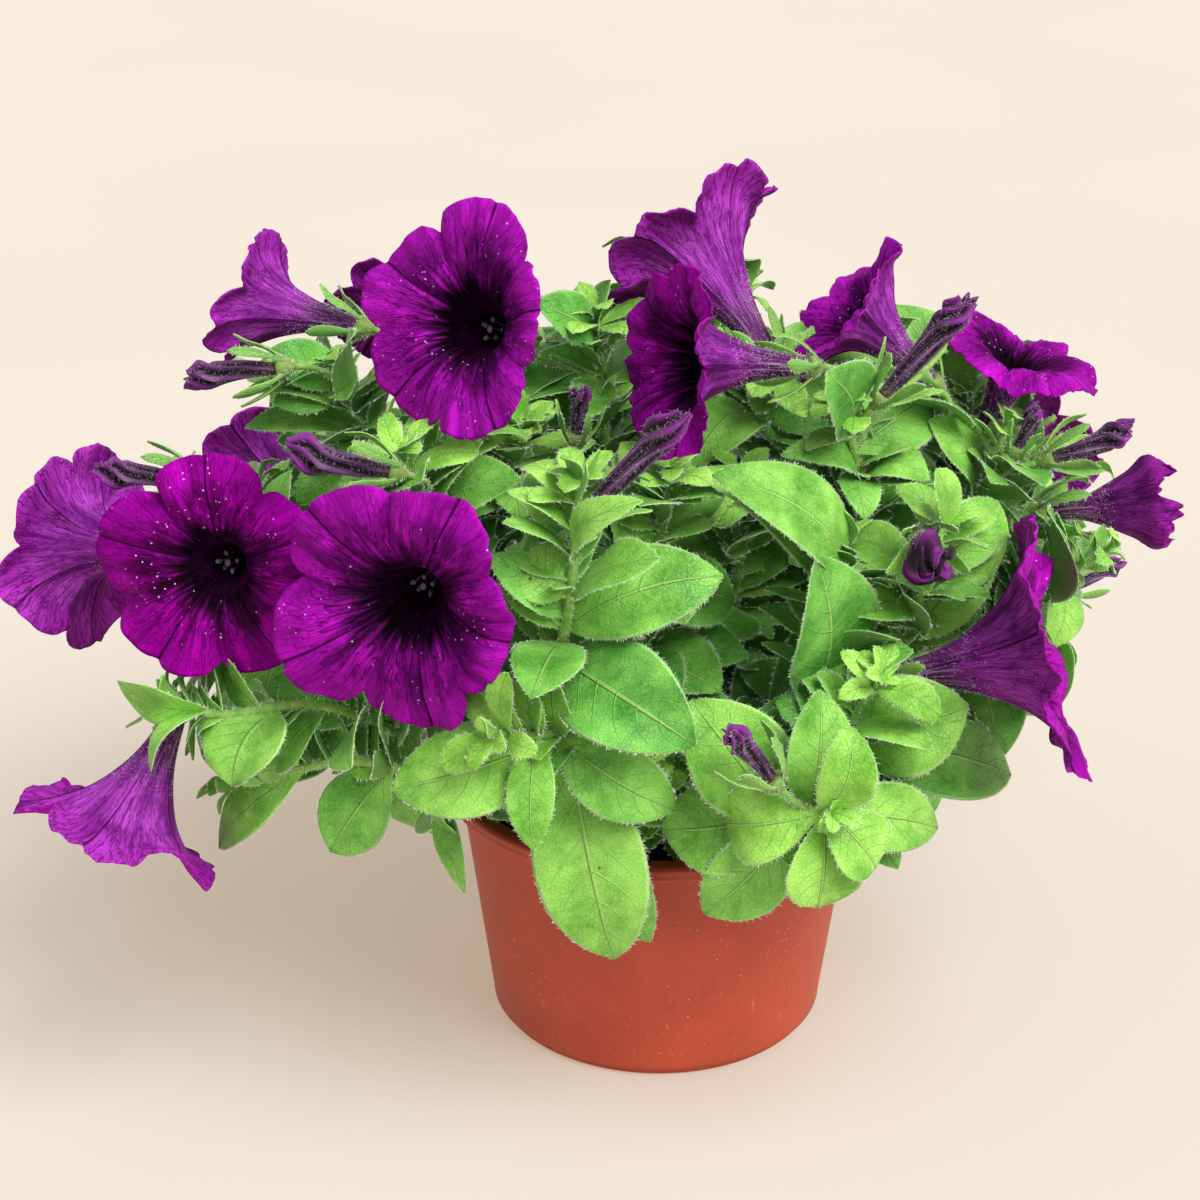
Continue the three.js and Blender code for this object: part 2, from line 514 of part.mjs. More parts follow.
function makeCorolla(bloom, index) {
  const frame = frameOf(bloom.base, bloom.axis);
  const shape = corollaShape(bloom, index);
  const spin = radians(bloom.spin);
  const at = (turn, s) => {
    const [r, z] = shape(turn, s);
    return inFrame(frame, r, turn, z);
  };
  const corners = [];
  // One skin of the corolla, half a petal's thickness to one side of its middle surface.
  const skin = (side) => RINGS.map(([share, count], k) => {
    const s = k === 0 && side > 0 ? INNER_FLOOR : share;
    return Array.from({ length: count }, (_, i) => {
      const turn = spin + (2 * PI * i) / count;
      const round = at(turn + NEAR, s).sub(at(turn - NEAR, s));
      const out = at(turn, min(s + NEAR, 1)).sub(at(turn, max(s - NEAR, 0)));
      const normal = round.cross(out).normalize();
      return corners.push(at(turn, s).addScaledVector(normal, (-side * PETAL_THICKNESS) / 2)) - 1;
    });
  });
  const [outer, inner] = [skin(-1), skin(1)];
  return solid(corners, [
    ...wallsOf(outer),
    ...cap(outer[0]),
    ...flipped([...wallsOf(inner), ...cap(inner[0])]),
    ...band(outer.at(-1), inner.at(-1)),
  ]);
}

const BUD_FOOT = 1.7; // the radius where it leaves the calyx
const BUD_PROFILE = [[0, 0], [0.4, 0.55], [0.8, 1], [0.96, 0.6]]; // over its foot's radius
const BUD_SIDES = 10;
const BUD_TWIST = 0.9; // from its foot to its tip, in radians
const [BUD_CREASE, BUD_PLEAT] = [0.8, 1.1]; // the radius in its creases and on its pleats

// A closed bud: a slim tube that swells into five pleats, wound round each other.
function makeBud(bud) {
  const frame = frameOf(bud.base, bud.axis);
  const corners = [];
  const rings = BUD_PROFILE.map(([s, share]) => {
    const middle = bud.base.clone().addScaledVector(bud.axis, bud.long * s);
    const pleats = Array.from({ length: BUD_SIDES }, (_, i) => mix(1, i % 2 ? BUD_CREASE : BUD_PLEAT, s));
    const radii = pleats.map((pleat) => mix(BUD_FOOT, bud.thick / 2, share) * pleat);
    return addRing(corners, middle, frame.x, frame.y, radii, BUD_TWIST * s);
  });
  const tip = corners.push(inFrame(frame, 0, 0, bud.long)) - 1;
  return solid(corners, [...cap(rings[0]), ...wallsOf(rings), ...fan(rings.at(-1), tip)]);
}

// ---------------------------------------------------------------- leaves

// The right half of a leaf's edge, as [share of its length, share of its width], by its length in mm.
const LEAF_EDGES = [
  { from: 30, edge: [[0.16, 0.28], [0.42, 0.5], [0.74, 0.36]] },
  { from: 19, edge: [[0.28, 0.42], [0.64, 0.42]] },
  { from: 0, edge: [[0.45, 0.5]] },
];
const LEAF_MIDDLE = 0.45;
const LEAF_FOLD = 0.16; // how far its edges stand over its rib, as a share of half its width
const LEAF_SLIMNESS = 0.46; // its width, as a share of its length, where the rule sets it

// The corners of a leaf's blade: its edge, from the root round its tip and back, and then the middle of
// its underside and of its upper side. It rises by `arch` of its length, and its upper side faces `up`.
function bladeOf({ root, tip, up, width, arch }) {
  const length = root.distanceTo(tip);
  const way = tip.clone().sub(root).normalize();
  const side = up.clone().cross(way);
  const at = (share, wide, high) => root.clone().lerp(tip, share).addScaledVector(side, wide * width)
    .addScaledVector(up, high + 4 * share * (1 - share) * arch * length);
  const { edge } = LEAF_EDGES.find(({ from }) => length >= from);
  const rights = edge.map(([share, wide]) => at(share, wide, wide * width * LEAF_FOLD));
  const lefts = edge.map(([share, wide]) => at(share, -wide, wide * width * LEAF_FOLD)).reverse();
  return [
    ...rights,
    tip,
    ...lefts,
    at(LEAF_MIDDLE, 0, -LEAF_THICKNESS / 2),
    at(LEAF_MIDDLE, 0, LEAF_THICKNESS / 2),
  ];
}

// The triangles of a leaf, from the indices of its two lower and two upper root corners and of its blade.
function leafFaces(lower, upper, blade) {
  const edge = blade.slice(0, -2);
  const [under, over] = blade.slice(-2);
  const sides = [[lower[0], edge.at(-1), upper[0]], [lower[1], upper[1], edge[0]]];
  return [...fan([...lower, ...edge], under), ...flipped(fan([...upper, ...edge], over)), ...sides];
}

// A leaf as a solid by itself. Its root corners may be moved out towards the middle of its blade.
function leafSolid({ lower, upper, blade }, moved = 0) {
  const roots = [...lower, ...upper].map((corner) => corner.clone().lerp(blade.at(-1), moved));
  const faces = leafFaces([0, 1], [2, 3], blade.map((_, i) => 4 + i));
  return solid([...roots, ...blade], [...faces, [0, 2, 3], [0, 3, 1]]);
}

// What is tried for each leaf in turn, until one place is clear. The tip of a leaf placed by hand moves in
// depth, in mm. A leaf of the rule turns and leans otherwise, in radians, and then stays smaller.
const DEPTH_SHIFTS = [0, 5, -5, 10, -10, 15, -15, 20, -20, 26, -26, 32];
const RULE_SHIFTS = [[0, 0], [0.5, 0], [-0.5, 0], [0, 0.35], [0, -0.35], [0.8, 0.2], [-0.8, 0.2], [0, 0.7]];
const RULE_SIZES = [1, 0.75, 0.55];
const RULE_ARCH = 0.08;
const UPWARD = 1.2; // how much a leaf of the rule turns its face away from the middle of the plant

const facingOut = (root, tip) => root.clone().lerp(tip, 0.6).sub(MOUND_CENTRE).normalize();

// The way that a leaf's upper side faces: as near to `face` as it can twist from `flat`, its root's width.
const LEAST_TWIST = 0.35;

function faceOf(root, tip, face, inner, flat) {
  const way = tip.clone().sub(root).normalize();
  for (const share of [1, 0.6, 0.3]) {
    const [up] = across(way, inner.clone().lerp(face, share));
    if (up.clone().cross(way).dot(flat) > LEAST_TWIST) return up;
  }
  return across(way, inner)[0];
}

// The places that a slot's leaf may take, in order of choice: its root corners and its blade.
function placesOf({ corners, rings }, slot) {
  const next = (slot.side + 1) % STEM_SIDES;
  const [lower, upper] = slot.rings.map((k) => [corners[rings[k][slot.side]], corners[rings[k][next]]]);
  const root = lower[0].clone().add(upper[1]).multiplyScalar(0.5);
  const flat = lower[1].clone().sub(lower[0]).normalize();
  const away = flat.clone().cross(slot.axis).normalize();
  const leaf = (tip, width, arch, face, inner) => {
    const up = faceOf(root, tip, face, inner, flat);
    return { lower, upper, blade: bladeOf({ root, tip, up, width, arch }) };
  };
  if (slot.byHand) {
    const [, [u, v, y], width, arch] = slot.byHand;
    return DEPTH_SHIFTS.map((shift) => {
      const tip = seen([u, v, y + shift]);
      return leaf(tip, width, arch, facingOut(root, tip), slot.axis);
    });
  }
  return RULE_SIZES.flatMap((size) => RULE_SHIFTS.map(([turned, leaned]) => {
    const [turn, lean] = [slot.turn + turned, slot.lean + leaned];
    const out = away.clone().multiplyScalar(cos(turn)).addScaledVector(flat, sin(turn));
    const way = out.clone().multiplyScalar(cos(lean)).addScaledVector(slot.axis, sin(lean));
    const inner = slot.axis.clone().multiplyScalar(cos(lean)).addScaledVector(out, -sin(lean));
    const length = slot.length * size;
    const tip = root.clone().addScaledVector(way, length);
    const face = facingOut(root, tip).multiplyScalar(UPWARD).add(inner);
    return leaf(tip, LEAF_SLIMNESS * length, RULE_ARCH, face, inner);
  }));
}

// ---------------------------------------------------------------- stems, stalks and calyxes

// A stem stands straight in its hole up to STEM_RISE over the soil, and then bends through its points.
// Its share runs from 0 there to 1 at its tip, an equal part for each point.
function stemOf({ foot, via }) {
  const [x, y] = foot;
  const ground = [point(x, y, SOIL_TOP - STEM_DEPTH + GAP), point(x, y, SOIL_TOP + STEM_RISE)];
  const curve = new THREE.CatmullRomCurve3([...ground, ...via.map(seen)], false, "centripetal");
  const share = (t) => (1 + t * via.length) / (1 + via.length);
  return { foot: ground[0], at: (t) => curve.getPoint(share(t)), along: (t) => curve.getTangent(share(t)) };
}

// A shoot's nodes, from the lowest up: where leaves are placed by hand, where the rule grows some, and
// the two nodes of the tuft at the tip. `fill` is how many leaves of the rule a node may hold.
function nodesOf(shoot, stem) {
  const [count, from, to, longest] = shoot.nodes;
  const sizeAt = (t) => mix(longest, 0.6 * longest, max(t - from, 0) / (1 - from));
  const placed = [...new Set(shoot.leaves.map(([at]) => at))].filter((t) => t < 1);
  const ruled = Array.from({ length: count }, (_, i) => mix(from, to, count > 1 ? i / (count - 1) : 0.5));
  const free = ruled.filter((t) => placed.every((other) => abs(t - other) > NODE_SPACING));
  const nodes = [
    ...placed.map((t) => ({ t, fill: 1, size: sizeAt(t), lean: 0.35 })),
    ...free.map((t, i) => ({ t, fill: 3 - (i % 2), size: sizeAt(t), lean: 0.35 })),
  ].sort((a, b) => a.t - b.t);
  nodes.push({ t: 1, fill: STEM_SIDES, size: shoot.tuft, lean: 0.1 });
  for (const node of nodes) {
    node.middle = stem.at(node.t);
    node.axis = stem.along(node.t);
    node.byHand = shoot.leaves.filter(([at]) => at === node.t);
  }
  const { middle, axis } = nodes.at(-1);
  const top = middle.clone().addScaledVector(axis, TUFT_STEP);
  nodes.push({ t: 1, fill: STEM_SIDES, size: 0.75 * shoot.tuft, lean: 0.7, middle: top, axis, byHand: [] });
  return nodes;
}

// A stem's corners and rings, and its slots, which are the places at its nodes where leaves may grow. A
// node lies between two rings, and each of its sides holds one leaf at most.
function layStem(shoot, index) {
  const stem = stemOf(shoot);
  const draw = drawFrom(index + 1);
  const nodes = nodesOf(shoot, stem);
  const points = [stem.foot, stem.at(0)];
  const radii = [STEM_RADIUS, STEM_RADIUS];
  for (const { t, middle, axis } of nodes) {
    const radius = mix(STEM_RADIUS, STEM_TIP_RADIUS, t);
    const half = axis.clone().multiplyScalar(NODE_HEIGHT / 2);
    points.push(middle.clone().sub(half), middle.clone().add(half));
    radii.push(radius, radius);
  }
  const corners = [];
  const firstSide = FRONT.clone().applyAxisAngle(UP, draw() * 2 * PI);
  const rings = sweepRings(corners, points, radii, STEM_SIDES, firstSide);
  const slots = nodes.flatMap(({ middle, axis, byHand, fill, size, lean }, i) => {
    const ring = rings[2 + 2 * i];
    const first = floor(draw() * STEM_SIDES);
    const free = [0, 2, 1, 3].map((k) => (first + k) % STEM_SIDES);
    // The free side that faces a leaf's tip the most.
    const sideTowards = (tip) => {
      const way = tip.sub(middle);
      const corner = (side) => corners[ring[side % STEM_SIDES]].clone().sub(middle);
      const reach = (side) => corner(side).add(corner(side + 1)).dot(way);
      const side = free.reduce((a, b) => (reach(b) > reach(a) ? b : a));
      free.splice(free.indexOf(side), 1);
      return side;
    };
    const common = { rings: [2 + 2 * i, 3 + 2 * i], axis };
    const placed = byHand.map((leaf) => ({ ...common, byHand: leaf, side: sideTowards(seen(leaf[1])) }));
    const grown = free.slice(0, fill).map((side) => ({
      ...common,
      side,
      length: size * (0.8 + 0.4 * draw()),
      lean: lean + 0.5 * draw(),
      turn: draw() - 0.5,
    }));
    return [...placed, ...grown];
  });
  return { ...stem, corners, rings, slots };
}

// A stem with the leaves that its slots hold.
function makeStem({ corners, rings, slots }) {
  const all = [...corners];
  const faces = [...cap(rings[0]), ...flipped(cap(rings.at(-1)))];
  rings.slice(1).forEach((upper, k) => {
    const lower = rings[k];
    lower.forEach((corner, side) => {
      const next = (side + 1) % STEM_SIDES;
      const slot = slots.find((one) => one.rings[0] === k && one.side === side && one.place);
      if (!slot) {
        faces.push([corner, lower[next], upper[side]], [lower[next], upper[next], upper[side]]);
        return;
      }
      const blade = slot.place.blade.map((point) => all.push(point) - 1);
      faces.push(...leafFaces([corner, lower[next]], [upper[side], upper[next]], blade));
    });
  });
  return solid(all, faces);
}

// A flower's stalk, which leaves its stem and widens into the calyx. The calyx is a cup round the
// flower's base, whose edge runs out in five narrow sepals that lean away from the flower.
function makeStalk(stem, { at, base, axis, spin = 0, deep, long }) {
  const size = long && long < SHORT_BUD ? 0.7 : 1;
  const start = stem.at(at);
  const under = base.clone().addScaledVector(axis, -CALYX_DEPTH);
  const bend = under.clone().addScaledVector(axis, -STALK_BEND * (deep ?? long));
  const way = new THREE.CubicBezierCurve3(under, bend, start.clone().lerp(bend, 0.6), start);
  // Every ring is made looking down from the flower, so that they all line up.
  const down = axis.clone().negate();
  const [x, y] = across(down, UP);
  const first = -radians(spin);
  const corners = [];
  const ring = (radius, z, start) =>
    addRing(corners, base.clone().addScaledVector(axis, z), x, y, Array(SEPALS).fill(radius), start);
  const inside = ring(CALYX_RADIUS - CALYX_WALL, -GAP, first);
  const outside = ring(CALYX_RADIUS, -3 * CALYX_WALL, first);
  const notches = ring(CALYX_RADIUS - GAP, 1, first);
  const tips = ring(SEPAL_REACH * size, SEPAL_LENGTH * size, first + PI / SEPALS);
  const edge = notches.flatMap((notch, i) => [notch, tips[i]]);
  const side = x.clone().multiplyScalar(cos(first)).addScaledVector(y, sin(first));
  const points = [0, 0.5, 1].map((t) => way.getPoint(t));
  const stalk = sweepRings(corners, points, points.map(() => STALK_RADIUS), SEPALS, side);
  return solid(corners, [
    ...cap(inside),
    ...band(inside, edge),
    ...flipped(band(outside, edge)),
    ...wallsOf([outside, ...stalk]),
    ...flipped(cap(stalk.at(-1))),
  ]);
}

// ---------------------------------------------------------------- growing the plant

const boxesApart = (a, b, gap) =>
  [0, 1, 2].some((i) => a.min[i] > b.max[i] + gap || b.min[i] > a.max[i] + gap);

// What stands already. Other shoots keep clear of `whole`, and its own shoot only of `outer`.
const standing = [];
const stand = (owner, whole, outer) => standing.push({ owner, whole, outer, box: whole.boundingBox() });
const OWN_ROOT = 0.5; // how far out, towards its middle, its own shoot's other leaves may cross it

const isClear = (made, other) => !other || made.minGap(other, 2 * LEAF_CLEARANCE) >= LEAF_CLEARANCE;

// The first of a leaf's places that is clear of everything.
function settle(places, owner) {
  for (const place of places) {
    const whole = leafSolid(place);
    const outer = leafSolid(place, OWN_ROOT);
    const box = whole.boundingBox();
    const near = standing.filter((other) => !boxesApart(box, other.box, LEAF_CLEARANCE));
    const fits = near.every((other) =>
      other.owner === owner ? isClear(outer, other.outer) : isClear(whole, other.whole));
    if (!fits) continue;
    stand(owner, whole, outer);
    return place;
  }
  return null;
}

const plant = new THREE.Group();
plant.name = "potted petunia";

const pot = makePot();
const soil = makeSoil();
plant.add(pot, soil);
for (const mesh of [pot, soil]) {
  const made = solidOf(mesh.geometry);
  stand(mesh.name, made, made);
}

for (const flower of [...BLOOMS, ...BUDS]) {
  const way = point(...flower.faces).normalize();
  flower.axis = way;
  flower.base = seen(flower.mouth ?? flower.tip).addScaledVector(way, -(flower.deep ?? flower.long));
}

const corollas = BLOOMS.map((bloom, index) => {
  const made = makeCorolla(bloom, index);
  stand("bloom_" + bloom.name, made, made);
  return meshOf("bloom_" + bloom.name, made, PETAL_PURPLE);
});
const buds = BUDS.map((bud) => {
  const made = makeBud(bud);
  stand("bud_" + bud.name, made, made);
  return meshOf("bud_" + bud.name, made, BUD_PURPLE);
});

// The stems, stalks and calyxes come first, and then the leaves fill what room is left.
const shoots = SHOOTS.map((shoot, index) => {
  const stem = layStem(shoot, index);
  const flowers = [...BLOOMS, ...BUDS].filter((flower) => flower.shoot === shoot.name);
  const stalks = flowers.map((flower) => makeStalk(stem, flower));
  stand(shoot.name, makeStem(stem), null); // its own leaves grow from it
  stalks.forEach((made) => stand(shoot.name, made, made));
  return { shoot, stem, stalks };
});

// Leaves placed by hand come first. Then the tufts are filled, and the nodes down from them, one leaf of
// each shoot at a time.
for (const { shoot, stem } of shoots)
  for (const slot of stem.slots.filter(({ byHand }) => byHand))
    slot.place = settle(placesOf(stem, slot), shoot.name);
const rounds = max(...shoots.map(({ stem }) => stem.slots.length));
for (let round = 1; round <= rounds; round++)
  for (const { shoot, stem } of shoots) {
    const slot = round > stem.slots.length ? null : stem.slots.at(-round);
    if (slot && !slot.byHand) slot.place = settle(placesOf(stem, slot), shoot.name);
  }

for (const { shoot, stem, stalks } of shoots) {
  const whole = wasm.Manifold.union([makeStem(stem), ...stalks]);
  plant.add(meshOf("shoot_" + shoot.name, whole, LEAF_GREEN));
}
plant.add(...corollas, ...buds);

export default plant;
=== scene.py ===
"""A petunia in full flower in a low plastic nursery pot: its looks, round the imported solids.

Metres, +Z up, the front towards -Y. The plan of the plant is the same as the solids': lengths in the
plan are millimetres, and places are pixels [u, v] of a 1200 x 1200 view with a depth y.
"""

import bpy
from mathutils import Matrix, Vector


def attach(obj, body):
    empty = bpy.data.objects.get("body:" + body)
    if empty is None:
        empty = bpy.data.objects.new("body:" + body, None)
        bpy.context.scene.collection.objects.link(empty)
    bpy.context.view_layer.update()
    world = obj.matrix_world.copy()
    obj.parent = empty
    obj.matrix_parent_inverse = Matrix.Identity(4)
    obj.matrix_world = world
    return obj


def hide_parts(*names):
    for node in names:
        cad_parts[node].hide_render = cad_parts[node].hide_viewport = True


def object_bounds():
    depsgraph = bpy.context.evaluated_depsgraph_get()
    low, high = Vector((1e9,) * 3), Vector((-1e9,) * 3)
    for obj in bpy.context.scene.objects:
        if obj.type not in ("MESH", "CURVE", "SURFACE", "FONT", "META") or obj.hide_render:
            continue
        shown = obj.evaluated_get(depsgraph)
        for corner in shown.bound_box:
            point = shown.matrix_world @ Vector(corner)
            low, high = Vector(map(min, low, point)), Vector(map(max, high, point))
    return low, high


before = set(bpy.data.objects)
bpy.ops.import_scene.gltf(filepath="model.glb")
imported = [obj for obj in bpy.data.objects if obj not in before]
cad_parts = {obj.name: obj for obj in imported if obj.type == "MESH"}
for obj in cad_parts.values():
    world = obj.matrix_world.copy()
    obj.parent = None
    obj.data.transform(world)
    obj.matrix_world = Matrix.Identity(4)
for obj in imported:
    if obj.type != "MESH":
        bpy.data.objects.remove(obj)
CAD_BOX = [list(corner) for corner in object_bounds()]

import math

import bpy
import numpy as np
from mathutils import Vector
from mathutils.bvhtree import BVHTree

MM = 0.001
UP = np.array([0.0, 0.0, 1.0])

# ---------------------------------------------------------------- the view that the plan is read in

EYE = np.array([-17.5, -674.0, 430.6])
EYE_PITCH = math.radians(23.9)
EYE_SINE, EYE_COSINE = math.sin(EYE_PITCH), math.cos(EYE_PITCH)
EYE_FOCAL, FRAME_PIXELS, SENSOR = 2521, 1200, 36

# ---------------------------------------------------------------- the plan, as in the solids


def table(names, rows):
    return [dict(zip(names.split(), row)) for row in rows]


# foot: where the shoot stands in the soil; via: points that it passes, as [u, v, y]; leaves: [share of
# the way up, tip, width, arch]; nodes: [how many others, from and to which share, leaf length];
# tuft: how long the leaves at its tip are.
SHOOTS = table("name foot via leaves nodes tuft", [
    ["front_low", [-7, -30], [[560, 775, -62], [563, 738, -80], [508, 735, -92]],
     [[0.6, [614, 962, -84], 31, 0.1], [0.6, [650, 945, -74], 22, 0.06],
     [0.72, [676, 810, -88], 21, 0.14], [0.72, [392, 790, -84], 26, 0.1],
     [0.84, [532, 850, -97], 13, 0.12]], [2, 0.35, 0.5, 30], 16],
    ["front_centre", [-9, -14], [[560, 680, -64], [571, 590, -76], [578, 505, -72]],
     [[0.42, [694, 744, -100], 29, 0.16], [0.53, [722, 574, -74], 24, 0.12],
     [0.66, [520, 560, -72], 18, 0.2], [0.8, [640, 500, -82], 12, 0.2],
     [0.8, [535, 470, -70], 13, 0.2]], [3, 0.3, 0.9, 34], 17],
    ["centre", [3, -9], [[640, 640, -34], [657, 550, -44], [667, 485, -46]],
     [[0.5, [610, 500, -50], 17, 0.15], [0.5, [735, 600, -38], 22, 0.15],
     [0.3, [720, 690, -60], 24, 0.15]], [4, 0.3, 0.9, 32], 14],
    ["right_front", [12, -28], [[742, 800, -66], [790, 815, -84], [822, 812, -96]],
     [[0.58, [690, 700, -80], 28, 0.15], [0.58, [662, 830, -78], 26, 0.12],
     [0.74, [704, 914, -86], 22, 0.08], [0.88, [820, 690, -84], 20, 0.1],
     [0.88, [940, 828, -78], 19, 0.12], [1, [856, 738, -100], 14, 0.2], [1, [722, 826, -100], 19, 0.16],
     [1, [818, 908, -100], 20, 0.1], [1, [880, 868, -98], 18, 0.12]], [2, 0.3, 0.6, 34], 11],
    ["centre_right", [16, -14], [[790, 740, -50], [817, 700, -62], [838, 600, -48], [846, 560, -46]],
     [[0.52, [818, 558, -74], 31, 0.08], [0.74, [686, 470, -46], 24, 0.25],
     [0.86, [717, 474, -66], 27, 0.2]], [3, 0.3, 0.95, 34], 18],
    ["right_mid", [24, -20], [[820, 770, -58], [846, 728, -70], [874, 688, -76]],
     [[0.6, [968, 706, -74], 28, 0.12], [0.6, [1010, 775, -50], 26, 0.12],
     [1, [940, 715, -84], 9, 0.25]], [2, 0.3, 0.7, 30], 12],
    ["right", [29, -8], [[880, 680, -34], [915, 610, -52], [937, 545, -54]],
     [[0.75, [826, 556, -50], 16, 0.3], [0.75, [1000, 500, -44], 22, 0.12],
     [1, [905, 482, -58], 10, 0.15], [1, [938, 470, -56], 12, 0.12]], [3, 0.3, 0.8, 34], 17],
    ["upper_right", [18, 4], [[846, 610, 4], [862, 510, -10], [848, 418, -22]],
     [[0.55, [790, 560, -20], 24, 0.15], [0.76, [780, 456, -30], 13, 0.25],
     [0.76, [930, 480, -24], 18, 0.3]], [4, 0.35, 0.95, 32], 16],
    ["right_back", [34, 8], [[930, 570, 2], [985, 480, -2], [1003, 435, -2]],
     [[0.72, [1055, 470, -10], 13, 0.25], [0.6, [930, 420, -6], 22, 0.12]], [3, 0.3, 0.9, 32], 16],
    ["far_right", [38, -6], [[950, 660, -26], [1040, 590, -18], [1098, 556, -20]],
     [[0.62, [1050, 510, -12], 24, 0.15], [0.75, [1045, 650, -26], 16, 0.2]], [3, 0.35, 0.9, 32], 15],
    ["right_top", [27, 20], [[930, 540, 26], [962, 450, 28], [966, 412, 28]],
     [[0.8, [1035, 390, 20], 15, 0.35]], [3, 0.35, 0.95, 32], 15],
    ["top", [-4, 11], [[608, 480, 14], [602, 380, 12], [596, 328, 8]], [[0.9, [610, 280, 14], 14, 0.1],
     [0.6, [650, 355, 4], 22, 0.2]], [4, 0.4, 0.95, 30], 17],
    ["top_right", [9, 17], [[730, 490, 24], [758, 420, 10], [772, 372, 0]],
     [[0.7, [690, 470, -20], 22, 0.2]], [3, 0.4, 0.95, 32], 16],
    ["top_left", [-20, 10], [[450, 530, 10], [375, 430, 6], [340, 375, 4]],
     [[0.66, [245, 425, 6], 13, 0.1], [0.78, [240, 395, -8], 15, 0.2],
     [0.78, [352, 330, -12], 13, 0.1]], [3, 0.35, 0.95, 32], 16],
    ["left_mid", [-18, -8], [[480, 610, -24], [430, 520, -34], [408, 470, -38]],
     [[0.66, [480, 440, -40], 17, 0.2], [0.66, [520, 480, -34], 21, 0.15]], [3, 0.3, 0.9, 30], 18],
    ["left_far", [-30, -2], [[400, 620, -10], [275, 575, 2], [200, 478, 0]],
     [[0.6, [290, 470, -14], 20, 0.15]], [3, 0.35, 0.95, 30], 14],
    ["left_low", [-28, -16], [[430, 745, -46], [320, 705, -62], [215, 715, -60], [190, 706, -56]],
     [[0.6, [232, 786, -78], 31, 0.1], [0.72, [240, 660, -50], 20, 0.15],
     [0.84, [118, 680, -58], 15, 0.15], [0.84, [150, 770, -72], 12, 0.2]], [2, 0.4, 0.6, 30], 13],
    ["left_trail", [-20, -26], [[450, 790, -60], [370, 762, -64], [250, 778, -48]],
     [[0.36, [465, 892, -66], 9, 0.05], [0.46, [432, 835, -56], 24, 0.06],
     [0.58, [330, 852, -66], 22, 0.06], [0.86, [216, 848, -48], 15, 0.1]], [2, 0.4, 0.8, 30], 15],
    ["inner_front", [6, -24], [[652, 790, -46], [672, 745, -62]], [[0.6, [612, 815, -70], 24, 0.15]],
     [2, 0.3, 0.85, 32], 16],
    ["inner_middle", [13, 3], [[722, 650, -8], [738, 570, -16], [742, 505, -20]],
     [[0.52, [690, 640, -40], 26, 0.15], [0.75, [800, 520, -30], 24, 0.2]], [4, 0.25, 0.9, 36], 18],
    ["inner_left", [-11, 3], [[530, 600, -2], [512, 500, -8], [520, 445, -12]],
     [[0.7, [470, 520, -30], 24, 0.15]], [3, 0.25, 0.9, 34], 17],
    ["inner_back", [2, 23], [[685, 490, 56], [674, 410, 62], [668, 365, 58]], [], [3, 0.3, 0.9, 36], 17],
    ["back_right", [22, 28], [[940, 520, 70], [990, 500, 96], [1010, 520, 112]], [], [4, 0.35, 0.9, 38],
     17],
    ["back_middle", [6, 32], [[690, 500, 80], [690, 480, 118], [700, 510, 140]], [], [4, 0.35, 0.9, 38],
     17],
    ["back_left", [-14, 28], [[520, 510, 70], [470, 490, 100], [430, 520, 124]], [], [4, 0.35, 0.9, 38],
     17],
    ["back_far_left", [-30, 18], [[380, 560, 46], [310, 520, 70], [270, 540, 90]], [],
     [4, 0.35, 0.9, 36], 16],
])

